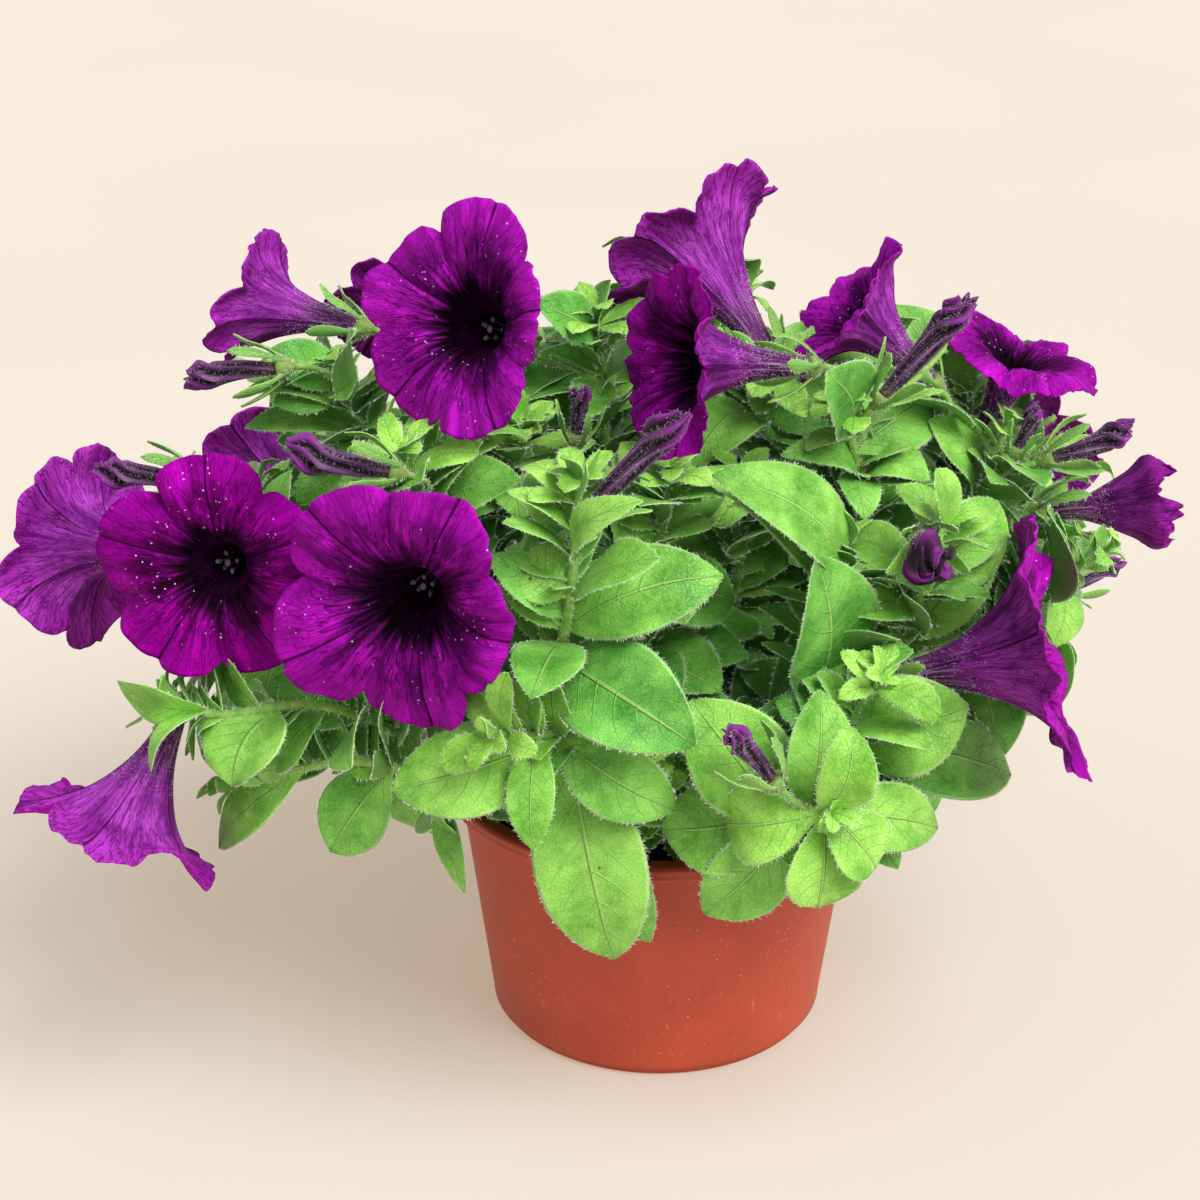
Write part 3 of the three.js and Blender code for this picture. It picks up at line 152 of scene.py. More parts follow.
# at: the share of the shoot that its stalk leaves from; mouth: its middle; faces: where it looks;
# open: 0 for a funnel, 1 for a flat face; spin: its turn; fold: [direction, how far], in degrees.
BLOOMS = table("name shoot at mouth faces across deep open spin fold", [
    ["left_front", "left_mid", 0.55, [405, 607, -78], [-0.26, -0.95, 0.02], 71, 40, 0.9, 10,
     [-105, 0.3]],
    ["left", "left_far", 0.72, [212, 570, -54], [-0.16, -0.95, 0.25], 62, 38, 0.9, 40, [0, 0.05]],
    ["far_left", "left_far", 0.86, [84, 545, -4], [-0.78, 0.55, -0.15], 60, 38, 0.85, 0, [0, 0]],
    ["top_left", "top_left", 0.5, [465, 322, -30], [-0.42, -0.82, 0.4], 63, 38, 0.8, 30, [-85, 0.35]],
    ["behind_top_left", "top_left", 0.6, [394, 302, 52], [-0.3, 0.75, 0.58], 44, 32, 0.8, 20, [0, 0]],
    ["upper_left", "top_left", 0.85, [252, 302, 30], [-0.92, 0.3, 0.12], 42, 34, 0.3, 15, [180, 0.3]],
    ["top", "top_right", 0.8, [688, 240, 26], [-0.55, 0.5, 0.67], 60, 44, 0.35, 36, [0, 0.1]],
    ["centre", "upper_right", 0.72, [668, 360, -44], [-0.88, -0.36, 0.16], 50, 42, 0.35, 30, [150, 0.1]],
    ["upper_right", "upper_right", 0.86, [846, 302, 4], [-0.72, 0.06, 0.66], 46, 34, 0.3, 36, [0, 0.2]],
    ["right_top", "right_top", 0.97, [1018, 356, 20], [0.3, -0.12, 0.93], 50, 34, 1.0, 20, [0, 0]],
    ["right", "right_mid", 0.99, [1058, 648, -66], [0.93, -0.16, 0.26], 70, 47, 0.25, 20, [0, 0]],
    ["far_right", "far_right", 0.72, [1168, 502, -6], [0.97, -0.1, 0.12], 26, 35, 0.05, 10, [0, 0]],
    ["low_left", "left_low", 0.9, [118, 840, -56], [-0.42, -0.36, -0.82], 57, 42, 0.2, 0, [0, 0]],
    ["back_high", "back_middle", 0.75, [712, 390, 112], [0.05, 0.72, 0.69], 62, 38, 0.9, 10, [60, 0.2]],
    ["back_right", "back_right", 0.8, [1010, 440, 118], [0.55, 0.75, 0.35], 64, 40, 0.85, 50,
     [-60, 0.2]],
    ["back_left", "back_left", 0.86, [490, 500, 150], [-0.2, 0.93, 0.3], 66, 40, 0.9, 25, [100, 0.2]],
    ["back_low", "back_far_left", 0.84, [262, 470, 112], [-0.65, 0.7, 0.3], 58, 40, 0.5, 0, [180, 0.1]],
])

BUDS = table("name shoot at tip faces long thick", [
    ["left_top", "top_left", 0.84, [187, 379, -10], [-1, 0, -0.12], 26, 8],
    ["left_upper", "left_far", 0.9, [98, 470, -30], [-0.98, -0.05, 0.15], 25, 8],
    ["left_middle", "left_mid", 0.8, [290, 450, -58], [-0.96, -0.1, 0.26], 27, 9.5],
    ["front_small", "left_mid", 0.74, [580, 388, -30], [0.05, -0.1, 0.99], 14, 6],
    ["front_tall", "front_centre", 0.94, [682, 414, -78], [0.66, -0.05, 0.75], 36, 10],
    ["right_tall", "upper_right", 0.95, [968, 300, -24], [0.62, 0, 0.78], 35, 9.5],
    ["right_upper", "right_back", 0.92, [1132, 427, -10], [0.92, 0, 0.38], 24, 8],
    ["front_right", "right_front", 0.95, [728, 732, -102], [-0.62, -0.1, 0.78], 19, 6.5],
    ["crumpled", "right", 0.92, [936, 574, -78], [0.05, -0.92, -0.1], 20, 17],
    ["right_small", "right_back", 0.8, [1036, 404, -4], [0.3, 0, 0.95], 14, 6],
    ["back_tall", "back_right", 0.95, [1120, 560, 120], [0.8, 0.5, 0.2], 26, 8],
    ["back_upright", "back_middle", 0.95, [760, 420, 140], [0.4, 0.4, 0.82], 24, 8],
    ["back_low", "back_left", 0.95, [360, 480, 128], [-0.7, 0.5, 0.5], 24, 8],
])

POT_HEIGHT, RIM_RADIUS, BASE_RADIUS, WALL_FOOT = 79, 65, 49.5, 50.1
WALL, FLOOR, LIP_HEIGHT, LIP_WIDTH, FOOT_HEIGHT = 1.3, 1.8, 4.8, 5.3, 1.8
DRAIN_HOLES, DRAIN_RADIUS, DRAIN_CIRCLE = 6, 4, 33
SOIL_TOP, SOIL_RELIEF, GAP = 69, 1.6, 0.3
STEM_RADIUS, STEM_TIP_RADIUS, STEM_SIDES = 1.9, 1.2, 4
STEM_DEPTH, STEM_RISE, STALK_BEND, CALYX_DEPTH = 9, 5, 0.3, 4
SEPALS, SEPAL_LENGTH, SEPAL_REACH, SHORT_BUD = 5, 13, 9.5, 18
NODE_HEIGHT, NODE_SPACING, TUFT_STEP = 2, 0.07, 3.5
LEAF_FOLD, LEAF_SLIMNESS, RULE_ARCH, UPWARD, LEAST_TWIST = 0.16, 0.46, 0.08, 1.2, 0.35
DEPTH_SHIFTS = [0, 5, -5, 10, -10, 15, -15, 20, -20, 26, -26, 32]
RULE_SHIFTS = [[0, 0], [0.5, 0], [-0.5, 0], [0, 0.35], [0, -0.35], [0.8, 0.2], [-0.8, 0.2], [0, 0.7]]
RULE_SIZES = [1, 0.75, 0.55]
MOUND_CENTRE = np.array([0.0, 0.0, 70.0])
# Where the draws for each kind of thing start.
RULE_SEED, RUFFLE_SEED, STAMEN_SEED, BUD_SEED = 1000, 500, 700, 900
SHOOT_SEED, BUD_HAIR_SEED, SOIL_SEED = 100, 50, 41
TIP_MATCH = 0.05  # how near a corner of the solids a leaf's tip has to be

# ---------------------------------------------------------------- small helpers


def draw_from(seed):
    """The solids' own seeded draw."""
    state = [seed]

    def draw():
        state[0] = (state[0] * 1664525 + 1013904223) % 4294967296
        return state[0] / 4294967296

    return draw


def seen(place):
    """The point that is seen at pixel (u, v) of the view, in the plane y."""
    u, v, y = place
    right, up = (u - FRAME_PIXELS / 2) / EYE_FOCAL, (FRAME_PIXELS / 2 - v) / EYE_FOCAL
    ray = np.array([right, EYE_COSINE + up * EYE_SINE, up * EYE_COSINE - EYE_SINE])
    return EYE + ray * (y - EYE[1]) / ray[1]


def pixel_of(point):
    """Where a point is seen in the plan's view, as u and v."""
    x, y, z = point - EYE
    deep, up = y * EYE_COSINE - z * EYE_SINE, y * EYE_SINE + z * EYE_COSINE
    return FRAME_PIXELS / 2 + EYE_FOCAL * x / deep, FRAME_PIXELS / 2 - EYE_FOCAL * up / deep


def mix(a, b, share):
    return a + (b - a) * share


def unit(vector):
    return vector / max(np.linalg.norm(vector), 1e-12)


def units(vectors):
    return vectors / np.maximum(np.linalg.norm(vectors, axis=-1, keepdims=True), 1e-9)


def across(axis, towards):
    """Two directions across an axis: the first as near to `towards` as it can be."""
    first = towards - axis * towards.dot(axis)
    if np.linalg.norm(first) < 1e-3:
        first = np.array([1.0, 0, 0]) - axis * axis[0]
    first = unit(first)
    return first, np.cross(axis, first)


def ramp(low, high, x):
    t = np.clip((x - low) / (high - low), 0, 1)
    return t * t * (3 - 2 * t)


def bump_at(x, middle, width):
    return np.exp(-(((x - middle) / width) ** 2))


def waves(parts, turn, wave=np.sin):
    """A sum of waves round a circle, from [how many, how high, phase]."""
    return sum(high * wave(count * turn + phase) for count, high, phase in parts)


def eased(stops, x):
    """A smooth curve through [share, value] stops, read at x."""
    xs, ys = np.array(stops, float).T
    steps = np.diff(ys) / np.diff(xs)
    slopes = np.r_[steps[0], (steps[1:] + steps[:-1]) / 2, steps[-1]]
    k = np.clip(np.searchsorted(xs, x, side="right") - 1, 0, len(xs) - 2)
    width = xs[k + 1] - xs[k]
    t = np.clip((x - xs[k]) / width, 0, 1)
    return (
        ys[k] * (1 + 2 * t) * (1 - t) ** 2
        + ys[k + 1] * t * t * (3 - 2 * t)
        + width * (slopes[k] * t * (1 - t) ** 2 - slopes[k + 1] * t * t * (1 - t))
    )


def bezier(points, count):
    t = np.linspace(0, 1, count)[:, None]
    a, b, c, d = points
    return (1 - t) ** 3 * a + 3 * t * (1 - t) ** 2 * b + 3 * t * t * (1 - t) * c + t**3 * d


def run_of(line):
    """How far along a line each of its points is."""
    return np.r_[0, np.cumsum(np.linalg.norm(np.diff(line, axis=0), axis=1))]


def read_at(at, run, values):
    return np.stack([np.interp(at, run, values[:, k]) for k in range(3)], 1)


class Curve:
    """A centripetal curve through points, and its direction, over 0 to 1."""

    def __init__(self, points):
        inner = [np.array(p, float) for p in points]
        self.points = [2 * inner[0] - inner[1], *inner, 2 * inner[-1] - inner[-2]]

    def at(self, t):
        spans = len(self.points) - 3
        k = min(int(t * spans), spans - 1)
        share = t * spans - k
        p0, p1, p2, p3 = self.points[k : k + 4]
        d1 = max(np.linalg.norm(p2 - p1) ** 0.5, 1e-4)
        d0, d2 = (max(np.linalg.norm(b - a) ** 0.5, 1e-4) for a, b in ((p0, p1), (p2, p3)))
        start = ((p1 - p0) / d0 - (p2 - p0) / (d0 + d1) + (p2 - p1) / d1) * d1
        end = ((p2 - p1) / d1 - (p3 - p1) / (d1 + d2) + (p3 - p2) / d2) * d1
        return (
            p1
            + share * start
            + share**2 * (3 * (p2 - p1) - 2 * start - end)
            + share**3 * (2 * (p1 - p2) + start + end)
        )

    def along(self, t):
        return unit(self.at(min(t + 1e-4, 1)) - self.at(max(t - 1e-4, 0)))


def sweep(points, radii, sides, side):
    """Rings of corners along a line. Each one carries on from the one before, without a twist."""
    turns = 2 * math.pi * np.arange(sides) / sides
    rings = []
    for k, point in enumerate(points):
        axis = unit(points[min(k + 1, len(points) - 1)] - points[max(k - 1, 0)])
        side, other = across(axis, side)
        aside = np.outer(np.cos(turns), side) + np.outer(np.sin(turns), other)
        rings.append(point + aside * radii[k])
    return np.array(rings)


# ---------------------------------------------------------------- the plant's rules, as in the solids


class Stem:
    def __init__(self, shoot, index):
        x, y = shoot["foot"]
        via = shoot["via"]
        ground = [[x, y, SOIL_TOP - STEM_DEPTH + GAP], [x, y, SOIL_TOP + STEM_RISE]]
        curve = Curve([*ground, *(seen(p) for p in via)])
        share = lambda t: (1 + t * len(via)) / (1 + len(via))
        self.name, self.tuft = shoot["name"], shoot["tuft"]
        self.foot = np.array(ground[0], float)
        self.at = lambda t: curve.at(share(t))
        self.along = lambda t: curve.along(share(t))
        self.nodes = self.place_nodes(shoot)
        self.lay(index)

    def place_nodes(self, shoot):
        count, start, end, longest = shoot["nodes"]
        size_at = lambda t: mix(longest, 0.6 * longest, max(t - start, 0) / (1 - start))
        placed = [t for t in dict.fromkeys(leaf[0] for leaf in shoot["leaves"]) if t < 1]
        ruled = [mix(start, end, i / (count - 1) if count > 1 else 0.5) for i in range(count)]
        free = [t for t in ruled if all(abs(t - other) > NODE_SPACING for other in placed)]
        nodes = [dict(t=t, fill=1, size=size_at(t), lean=0.35) for t in placed]
        nodes += [dict(t=t, fill=3 - i % 2, size=size_at(t), lean=0.35) for i, t in enumerate(free)]
        nodes.sort(key=lambda node: node["t"])
        nodes.append(dict(t=1, fill=STEM_SIDES, size=self.tuft, lean=0.1))
        for node in nodes:
            node["middle"], node["axis"] = self.at(node["t"]), self.along(node["t"])
            node["by_hand"] = [leaf for leaf in shoot["leaves"] if leaf[0] == node["t"]]
        last = nodes[-1]
        top = last["middle"] + last["axis"] * TUFT_STEP
        nodes.append(dict(last, size=0.75 * self.tuft, lean=0.7, middle=top, by_hand=[]))
        return nodes

    def lay(self, index):
        """The rings of the solid's stem, and the slots where its leaves grow."""
        draw = draw_from(index + 1)
        points, radii = [self.foot, self.at(0)], [STEM_RADIUS] * 2
        for node in self.nodes:
            half = node["axis"] * NODE_HEIGHT / 2
            points += [node["middle"] - half, node["middle"] + half]
            radii += [mix(STEM_RADIUS, STEM_TIP_RADIUS, node["t"])] * 2
        turn = draw() * 2 * math.pi
        self.first_side = np.array([math.sin(turn), -math.cos(turn), 0])
        self.rings = sweep(points, radii, STEM_SIDES, self.first_side)
        self.slots = []
        for i, node in enumerate(self.nodes):
            rings, middle = [2 + 2 * i, 3 + 2 * i], node["middle"]
            ring = self.rings[rings[0]]
            first = int(draw() * STEM_SIDES)
            free = [(first + k) % STEM_SIDES for k in (0, 2, 1, 3)]
            common = dict(rings=rings, axis=node["axis"], t=node["t"], tuft=node["t"] == 1)
            for leaf in node["by_hand"]:
                way = seen(leaf[1]) - middle
                reach = {s: (ring[s] + ring[(s + 1) % STEM_SIDES] - 2 * middle).dot(way) for s in free}
                side = max(free, key=lambda s: reach[s])
                free.remove(side)
                self.slots.append(dict(common, side=side, by_hand=leaf))
            for side in free[: node["fill"]]:
                length = node["size"] * (0.8 + 0.4 * draw())
                lean = node["lean"] + 0.5 * draw()
                slot = dict(common, side=side, by_hand=None, length=length, lean=lean, turn=draw() - 0.5)
                self.slots.append(slot)


def face_of(root, tip, face, inner, flat):
    """The way that a leaf's upper side faces, near to `face` without too sharp a twist at its root."""
    way = unit(tip - root)
    for share in (1, 0.6, 0.3):
        up, _ = across(way, mix(inner, face, share))
        if np.cross(up, way).dot(flat) > LEAST_TWIST:
            return up
    return across(way, inner)[0]


def facing_out(root, tip):
    return unit(mix(root, tip, 0.6) - MOUND_CENTRE)


def places_of(stem, slot):
    """The leaves that may grow in a slot, in order of choice."""
    side, following = slot["side"], (slot["side"] + 1) % STEM_SIDES
    low, high = (stem.rings[k] for k in slot["rings"])
    root = (low[side] + high[following]) / 2
    flat = unit(low[following] - low[side])
    away = unit(np.cross(flat, slot["axis"]))

    def leaf(tip, width, arch, face, inner):
        up = face_of(root, tip, face, inner, flat)
        by_hand = bool(slot["by_hand"])
        more = dict(t=slot["t"], tuft=slot["tuft"], by_hand=by_hand)
        return dict(root=root, tip=tip, up=up, width=width, arch=arch, **more)

    if slot["by_hand"]:
        _, (u, v, y), width, arch = slot["by_hand"]
        for shift in DEPTH_SHIFTS:
            tip = seen([u, v, y + shift])
            yield leaf(tip, width, arch, facing_out(root, tip), slot["axis"])
        return
    for size in RULE_SIZES:
        for turned, leaned in RULE_SHIFTS:
            turn, lean = slot["turn"] + turned, slot["lean"] + leaned
            out = away * math.cos(turn) + flat * math.sin(turn)
            way = out * math.cos(lean) + slot["axis"] * math.sin(lean)
            inner = slot["axis"] * math.cos(lean) - out * math.sin(lean)
            length = slot["length"] * size
            tip = root + way * length
            face = facing_out(root, tip) * UPWARD + inner
            yield leaf(tip, LEAF_SLIMNESS * length, RULE_ARCH, face, inner)


# ---------------------------------------------------------------- building meshes


def grid(rows, sides):
    """The faces between rings of corners, and the caps on the first and the last ring."""
    row, side = np.meshgrid(np.arange(rows - 1), np.arange(sides), indexing="ij")
    following = (side + 1) % sides
    here, above = row * sides, (row + 1) * sides
    faces = np.stack([here + side, here + following, above + following, above + side], -1)
    last = (rows - 1) * sides
    caps = [list(range(sides))[::-1], list(range(last, last + sides))]
    return faces.reshape(-1, 4).tolist() + caps


def show(name, data):
    made = bpy.data.objects.new(name, data)
    bpy.context.scene.collection.objects.link(made)
    return made


class Piece:
    """Closed bodies gathered into one piece: corners, faces, the material slot of each face, and two
    things that the materials read at each corner: a chart of three numbers, and a tone."""

    def __init__(self):
        self.points, self.charts, self.tones, self.faces, self.slots = [], [], [], [], []
        self.count = 0

    def add(self, points, faces, slot=0, chart=(0, 0, 0), tone=0.5):
        points = np.asarray(points, float).reshape(-1, 3)
        size = len(points)
        self.points.append(points)
        self.charts.append(np.broadcast_to(np.reshape(chart, (-1, 3)), (size, 3)))
        self.tones.append(np.broadcast_to(np.ravel(tone), size))
        self.faces += [[corner + self.count for corner in face] for face in faces]
        self.slots += [slot] * len(faces)
        self.count += size

    def tube(self, rings, slot=0, chart=(0, 0, 0), tone=0.5):
        self.add(rings, grid(*rings.shape[:2]), slot, chart, tone)

    def mesh(self, name, materials=()):
        mesh = bpy.data.meshes.new(name)
        mesh.from_pydata((np.concatenate(self.points) * MM).tolist(), [], self.faces)
        for material in materials:
            mesh.materials.append(material)
        mesh.polygons.foreach_set("material_index", self.slots)
        mesh.polygons.foreach_set("use_smooth", [True] * len(self.faces))
        chart = mesh.attributes.new("chart", "FLOAT_VECTOR", "POINT")
        chart.data.foreach_set("vector", np.concatenate(self.charts).astype(np.float32).ravel())
        tone = mesh.attributes.new("tone", "FLOAT", "POINT")
        tone.data.foreach_set("value", np.concatenate(self.tones).astype(np.float32))
        mesh.update()
        return mesh

    def make(self, name, slot, materials, *replaced):
        made = show(name, self.mesh(name, materials))
        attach(made, "root")
        if replaced:
            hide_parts(*replaced)
        return made


def ball(centre, radii, axes, rows=6, sides=8):
    """Rings round a ball that is stretched along three axes."""
    tilt = math.pi * (np.arange(rows) + 0.5) / rows
    turn = 2 * math.pi * np.arange(sides) / sides
    x = np.outer(np.sin(tilt), np.cos(turn))[..., None] * axes[0] * radii[0]
    y = np.outer(np.sin(tilt), np.sin(turn))[..., None] * axes[1] * radii[1]
    z = -np.cos(tilt)[:, None, None] * axes[2] * radii[2] * np.ones((1, sides, 1))
    return centre + x + y + z


HAIR_ROOT = 0.1  # how deep a hair is set in


def hairs(fuzz, roots, ways, stray, lengths, thick, rng):
    """Thin three-sided spikes, one for each root, that stray a little from their ways."""
    count = len(roots)
    ways = units(ways + rng.normal(0, stray, (count, 3)))
    lengths = rng.uniform(*lengths, count)
    aside = units(np.cross(ways, rng.normal(size=(count, 3))))
    other = np.cross(ways, aside)
    turns = (2 * math.pi * np.arange(3) / 3)[None, :, None]
    ring = np.cos(turns) * aside[:, None] + np.sin(turns) * other[:, None]
    base = roots[:, None] - ways[:, None] * HAIR_ROOT + ring * thick / 2
    corners = np.concatenate([base, (roots + ways * lengths[:, None])[:, None]], 1)
    sides = np.array([[0, 1, 3], [1, 2, 3], [2, 0, 3], [2, 1, 0]])
    faces = (4 * np.arange(count)[:, None, None] + sides[None]).reshape(-1, 3).tolist()
    fuzz.add(corners, faces, tone=np.tile([0.0, 0, 0, 1], count))


# ---------------------------------------------------------------- materials


def tint(code):
    """A colour that is written as it looks on a screen, as the light that it gives back."""
    parts = [(code >> shift & 255) / 255 for shift in (16, 8, 0)]
    return [c / 12.92 if c <= 0.04045 else ((c + 0.055) / 1.055) ** 2.4 for c in parts] + [1.0]


class Value:
    """What a node gives: a number, a vector or a colour. It can take part in sums."""

    def __init__(self, paint, socket):
        self.paint, self.socket = paint, socket

    def math(self, operation, *others):
        return self.paint.node("Math", (self, *others), operation=operation)

    def __add__(self, other):
        return self.math("ADD", other)

    def __sub__(self, other):
        return self.math("SUBTRACT", other)

    def __mul__(self, other):
        return self.math("MULTIPLY", other)

    def __truediv__(self, other):
        return self.math("DIVIDE", other)

    def __pow__(self, other):
        return self.math("POWER", other)

    def __abs__(self):
        return self.math("ABSOLUTE")

    def step(self, low, high, start=0.0, end=1.0):
        """Eases from `start` to `end` as this goes from low to high."""
        settings = dict(interpolation_type="SMOOTHSTEP")
        return self.paint.node("MapRange", (self, low, high, start, end), **settings)

    def blend(self, a, b):
        """From a to b as this goes from 0 to 1. Colours may be written as codes."""
        a, b = (tint(color) if isinstance(color, int) else color for color in (a, b))
        return self.paint.node("Mix", {0: self, 6: a, 7: b}, 2, data_type="RGBA", blend_type="MIX")

    def under(self, *layers):
        """This colour under layers, each of them [how much of it, colour]."""
        color = self
        for share, over in layers:
            color = share.blend(color, over)
        return color


class Paint:
    """A material, with short ways to add nodes to it."""

    def __init__(self, name, **constants):
        self.material = bpy.data.materials.new(name)
        self.material.use_nodes = True
        self.tree = self.material.node_tree
        self.shader = self.tree.nodes["Principled BSDF"]
        for socket, value in constants.items():
            self.shader.inputs[socket.replace("_", " ")].default_value = value

    def put(self, socket, value):
        if isinstance(value, Value):
            self.tree.links.new(value.socket, socket)
        elif value is not None:
            socket.default_value = value

    def node(self, kind, values=(), output=0, **settings):
        """A new node's output. Its inputs are set in order, or by number or name."""
        made = self.tree.nodes.new("ShaderNode" + kind)
        for name, value in settings.items():
            setattr(made, name, value)
        for key, value in values.items() if isinstance(values, dict) else enumerate(values):
            self.put(made.inputs[key], value)
        return Value(self, made.outputs[output])

    def place(self):
        return self.node("TexCoord", output="Object")

    def split(self, vector):
        x = self.node("SeparateXYZ", (vector,))
        return [Value(self, socket) for socket in x.socket.node.outputs]

    def chart(self):
        """The three numbers of the chart at a corner."""
        return self.split(self.node("Attribute", output="Vector", attribute_name="chart"))

    def tone(self):
        return self.node("Attribute", output="Fac", attribute_name="tone")

    def join(self, *parts):
        return self.node("CombineXYZ", parts)

    def noise(self, vector, scale, detail=2.0, rough=0.5):
        values = dict(Vector=vector, Scale=scale, Detail=detail, Roughness=rough)
        return self.node("TexNoise", values, "Fac")

    def streaks(self, ways, along, counts, length):
        """A noise that is long along a flower, with more or fewer streaks round it."""
        vector = self.join(*(way * counts for way in ways), along * length)
        return self.noise(vector, 1.0, 2.0, 0.55)

    def cells(self, vector, scale, feature="F1"):
        return self.node("TexVoronoi", dict(Vector=vector, Scale=scale), "Distance", feature=feature)

    def finish(self, color, roughness, height=None, strength=0.0, distance=0.0):
        """The material, with this colour and this relief."""
        if height:
            values = dict(Strength=strength, Distance=distance, Height=height)
            self.put(self.shader.inputs["Normal"], self.node("Bump", values, "Normal"))
        self.put(self.shader.inputs["Base Color"], color)
        self.put(self.shader.inputs["Roughness"], roughness)
        return self.material


def leaf_paint():
    """chart: how far across (-1 to 1), how far along (0 to 1), 1 on the upper side and 0 under it;
    tone: 0 for the youngest leaves, 1 for the oldest."""
    paint = Paint("leaf", Sheen_Weight=0.03, Sheen_Roughness=0.4, Specular_IOR_Level=0.32)
    place, tone = paint.place(), paint.tone()
    aside, along, above = paint.chart()
    edge = abs(aside)
    # Side veins leave the rib at a slant and curve towards the tip.
    slant = along * 7.0 - edge**1.3 * 1.9 + paint.noise(place, 35.0, 1.0) * 0.8
    side_vein = abs(slant.math("FRACT") - 0.5).step(0.45, 0.49) * edge.step(0.85, 0.4)
    rib = edge.step(0.055, 0.02)
    net = paint.cells(place, 850.0, "DISTANCE_TO_EDGE")
    mottle, fine = paint.noise(place, 70.0, 4.0, 0.6), paint.noise(place, 900.0)
    dark, pale = tone.blend(0x68AE28, 0x26761E), tone.blend(0xBCF66E, 0x7CCC58)
    color = mottle.step(0.28, 0.72).blend(dark, pale).under(
        (fine.step(0.35, 0.7) * 0.22, pale),
        (net.step(0.09, 0.0) * 0.22, dark),
        (side_vein * 0.7, pale),
        (rib * 0.62, 0xA4D173),
        # The foot of a leaf is paler, and so is its very edge.
        (along.step(0.22, 0.0) * 0.5, 0xA6D765),
        (edge.step(0.91, 0.99) * 0.5, 0xD6F2B2),
        (above.step(0.6, 0.3) * 0.7, 0x7DAE5C),
        # A few small brown marks.
        (paint.cells(place, 45.0).step(0.035, 0.015) * 0.8, 0x4A3C22),
    )
    rise = net.step(0.0, 0.12) * 0.16 - rib * 1.2 - side_vein * 0.7 + fine * 0.25
    return paint.finish(color, mottle.step(0.2, 0.8, 0.34, 0.5), rise, 0.8, 0.0007)


def stem_paint():
    """tone: 0 on plain green stems, 1 on the purple-tinged calyxes and stalks."""
    paint = Paint("stem", Sheen_Weight=0.08, Specular_IOR_Level=0.35)
    place, tone = paint.place(), paint.tone()
    streak, spots = paint.noise(place, 240.0), paint.noise(place, 1100.0)
    color = streak.step(0.3, 0.7).blend(0x6CA83A, 0x9CCB62).under(
        (tone * streak.step(0.25, 0.6), 0x6A4A3E),
        (spots.step(0.6, 0.75) * 0.35, 0xC6E09A),
    )
    return paint.finish(color, 0.55, streak + spots * 0.4, 0.5, 0.0003)


def hair_paint():
    """tone: 0 at a hair's root, 1 at its tip."""
    # The hairs glow a little: painted light, standing in for the light that shines through them.
    painted_glow = (0.9, 1.0, 0.85, 1.0)
    paint = Paint("hair", Sheen_Weight=0.3, Emission_Strength=0.24, Emission_Color=painted_glow)
    return paint.finish(paint.tone().blend(0xD5E3C4, 0xFBFCF6), 0.4)


def petal_paint():
    """chart: a point of a disc, which is the corolla laid flat, and 1 on the inner side; tone: 0 for
    a pale corolla, 1 for a deep one."""
    sheen = dict(Sheen_Weight=0.12, Sheen_Roughness=0.35, Sheen_Tint=(0.9, 0.08, 0.9, 1.0))
    paint = Paint("petal", Specular_IOR_Level=0.03, **sheen)
    place, tone = paint.place(), paint.tone()
    # The share from the base to the edge, the direction, and where in its lobe a point is.
    x, y, inside = paint.chart()
    share = (x * x + y * y).math("SQRT")
    lobe = (y.math("ARCTAN2", x) * (5 / (2 * math.pi)) + 5.0).math("FRACT")
    safe = share.math("MAXIMUM", 0.01)
    ways = x / safe, y / safe
    # Veins run out from the throat: noises that are long along the radius and short round it.
    wobble = paint.noise(place, 260.0)
    pulled = wobble * 0.05 + share
    sizes = (3.5, 2.0), (9.0, 4.0), (18.0, 9.0)
    broad, medium, thin = (paint.streaks(ways, pulled, *size) for size in sizes)
    fine_vein = abs(thin - 0.5).step(0.045, 0.0) * 0.8
    vein = abs(medium - 0.5).step(0.03, 0.0).math("MAXIMUM", fine_vein)
    middle = abs(lobe - 0.5)
    main = (wobble * 0.006 + middle).step(0.016, 0.006)
    fade, tube = share.step(1.02, 0.7), share.step(0.5, 0.22)
    blotch = paint.noise(place, 60.0, 4.0, 0.6)
    lit = (broad * 0.45 + blotch * 0.55).step(0.4, 0.6)
    rare = paint.noise(place, 90.0, 1.0).step(0.52, 0.6)
    specks = paint.cells(place, 480.0).step(0.15, 0.08) * rare * share.step(0.55, 0.66)
    vivid, deep, dark = tone.blend(0xCC22D6, 0xAC04AA), tone.blend(0x700878, 0x38002E), 0x1C0118
    inner = lit.blend(deep, vivid).under(
        (share.step(0.74, 0.97) * 0.4, vivid),
        (thin.step(0.5, 0.66) * (fade * 0.5), dark),
        (vein * (fade * 0.75 + 0.22), dark),
        (main * 0.85, dark),
        (middle.step(0.475, 0.5) * 0.3, dark),
        # The black throat reaches out in rays.
        ((medium * 0.3 + share).step(0.93, 0.74), 0x060204),
        (specks * 0.9, 0xE9B6EC),
    )
    outer = lit.blend(tone.blend(0x8E2A9E, 0x4A1450), tone.blend(0xCC54DE, 0x8E2C98)).under(
        (share.step(0.6, 0.95) * 0.55, 0xA416A8),
        (vein * 0.7, 0x2B0A30),
        (main * 0.8, 0x240828),
        (tube * 0.65, 0x3C1F3C),
        (medium.step(0.5, 0.6) * tube * 0.55, 0xBFA0BE),
    )
    color = inside.step(0.4, 0.6).blend(outer, inner)
    relief = medium * 0.8 - vein * 0.5 - main * 1.5 + blotch * 0.8
    return paint.finish(color, blotch.step(0.3, 0.7, 0.5, 0.66), relief, 0.7, 0.0006)


def anther_paint():
    """tone: 0 on the grainy anthers, 1 on the smooth stamens."""
    paint = Paint("anther")
    grain = paint.cells(paint.place(), 2500.0)
    color = paint.tone().blend(grain.step(0.2, 0.6).blend(0x9C93A8, 0x4A3F58), 0x7C6F80)
    return paint.finish(color, 0.8, grain, 0.6, 0.0002)


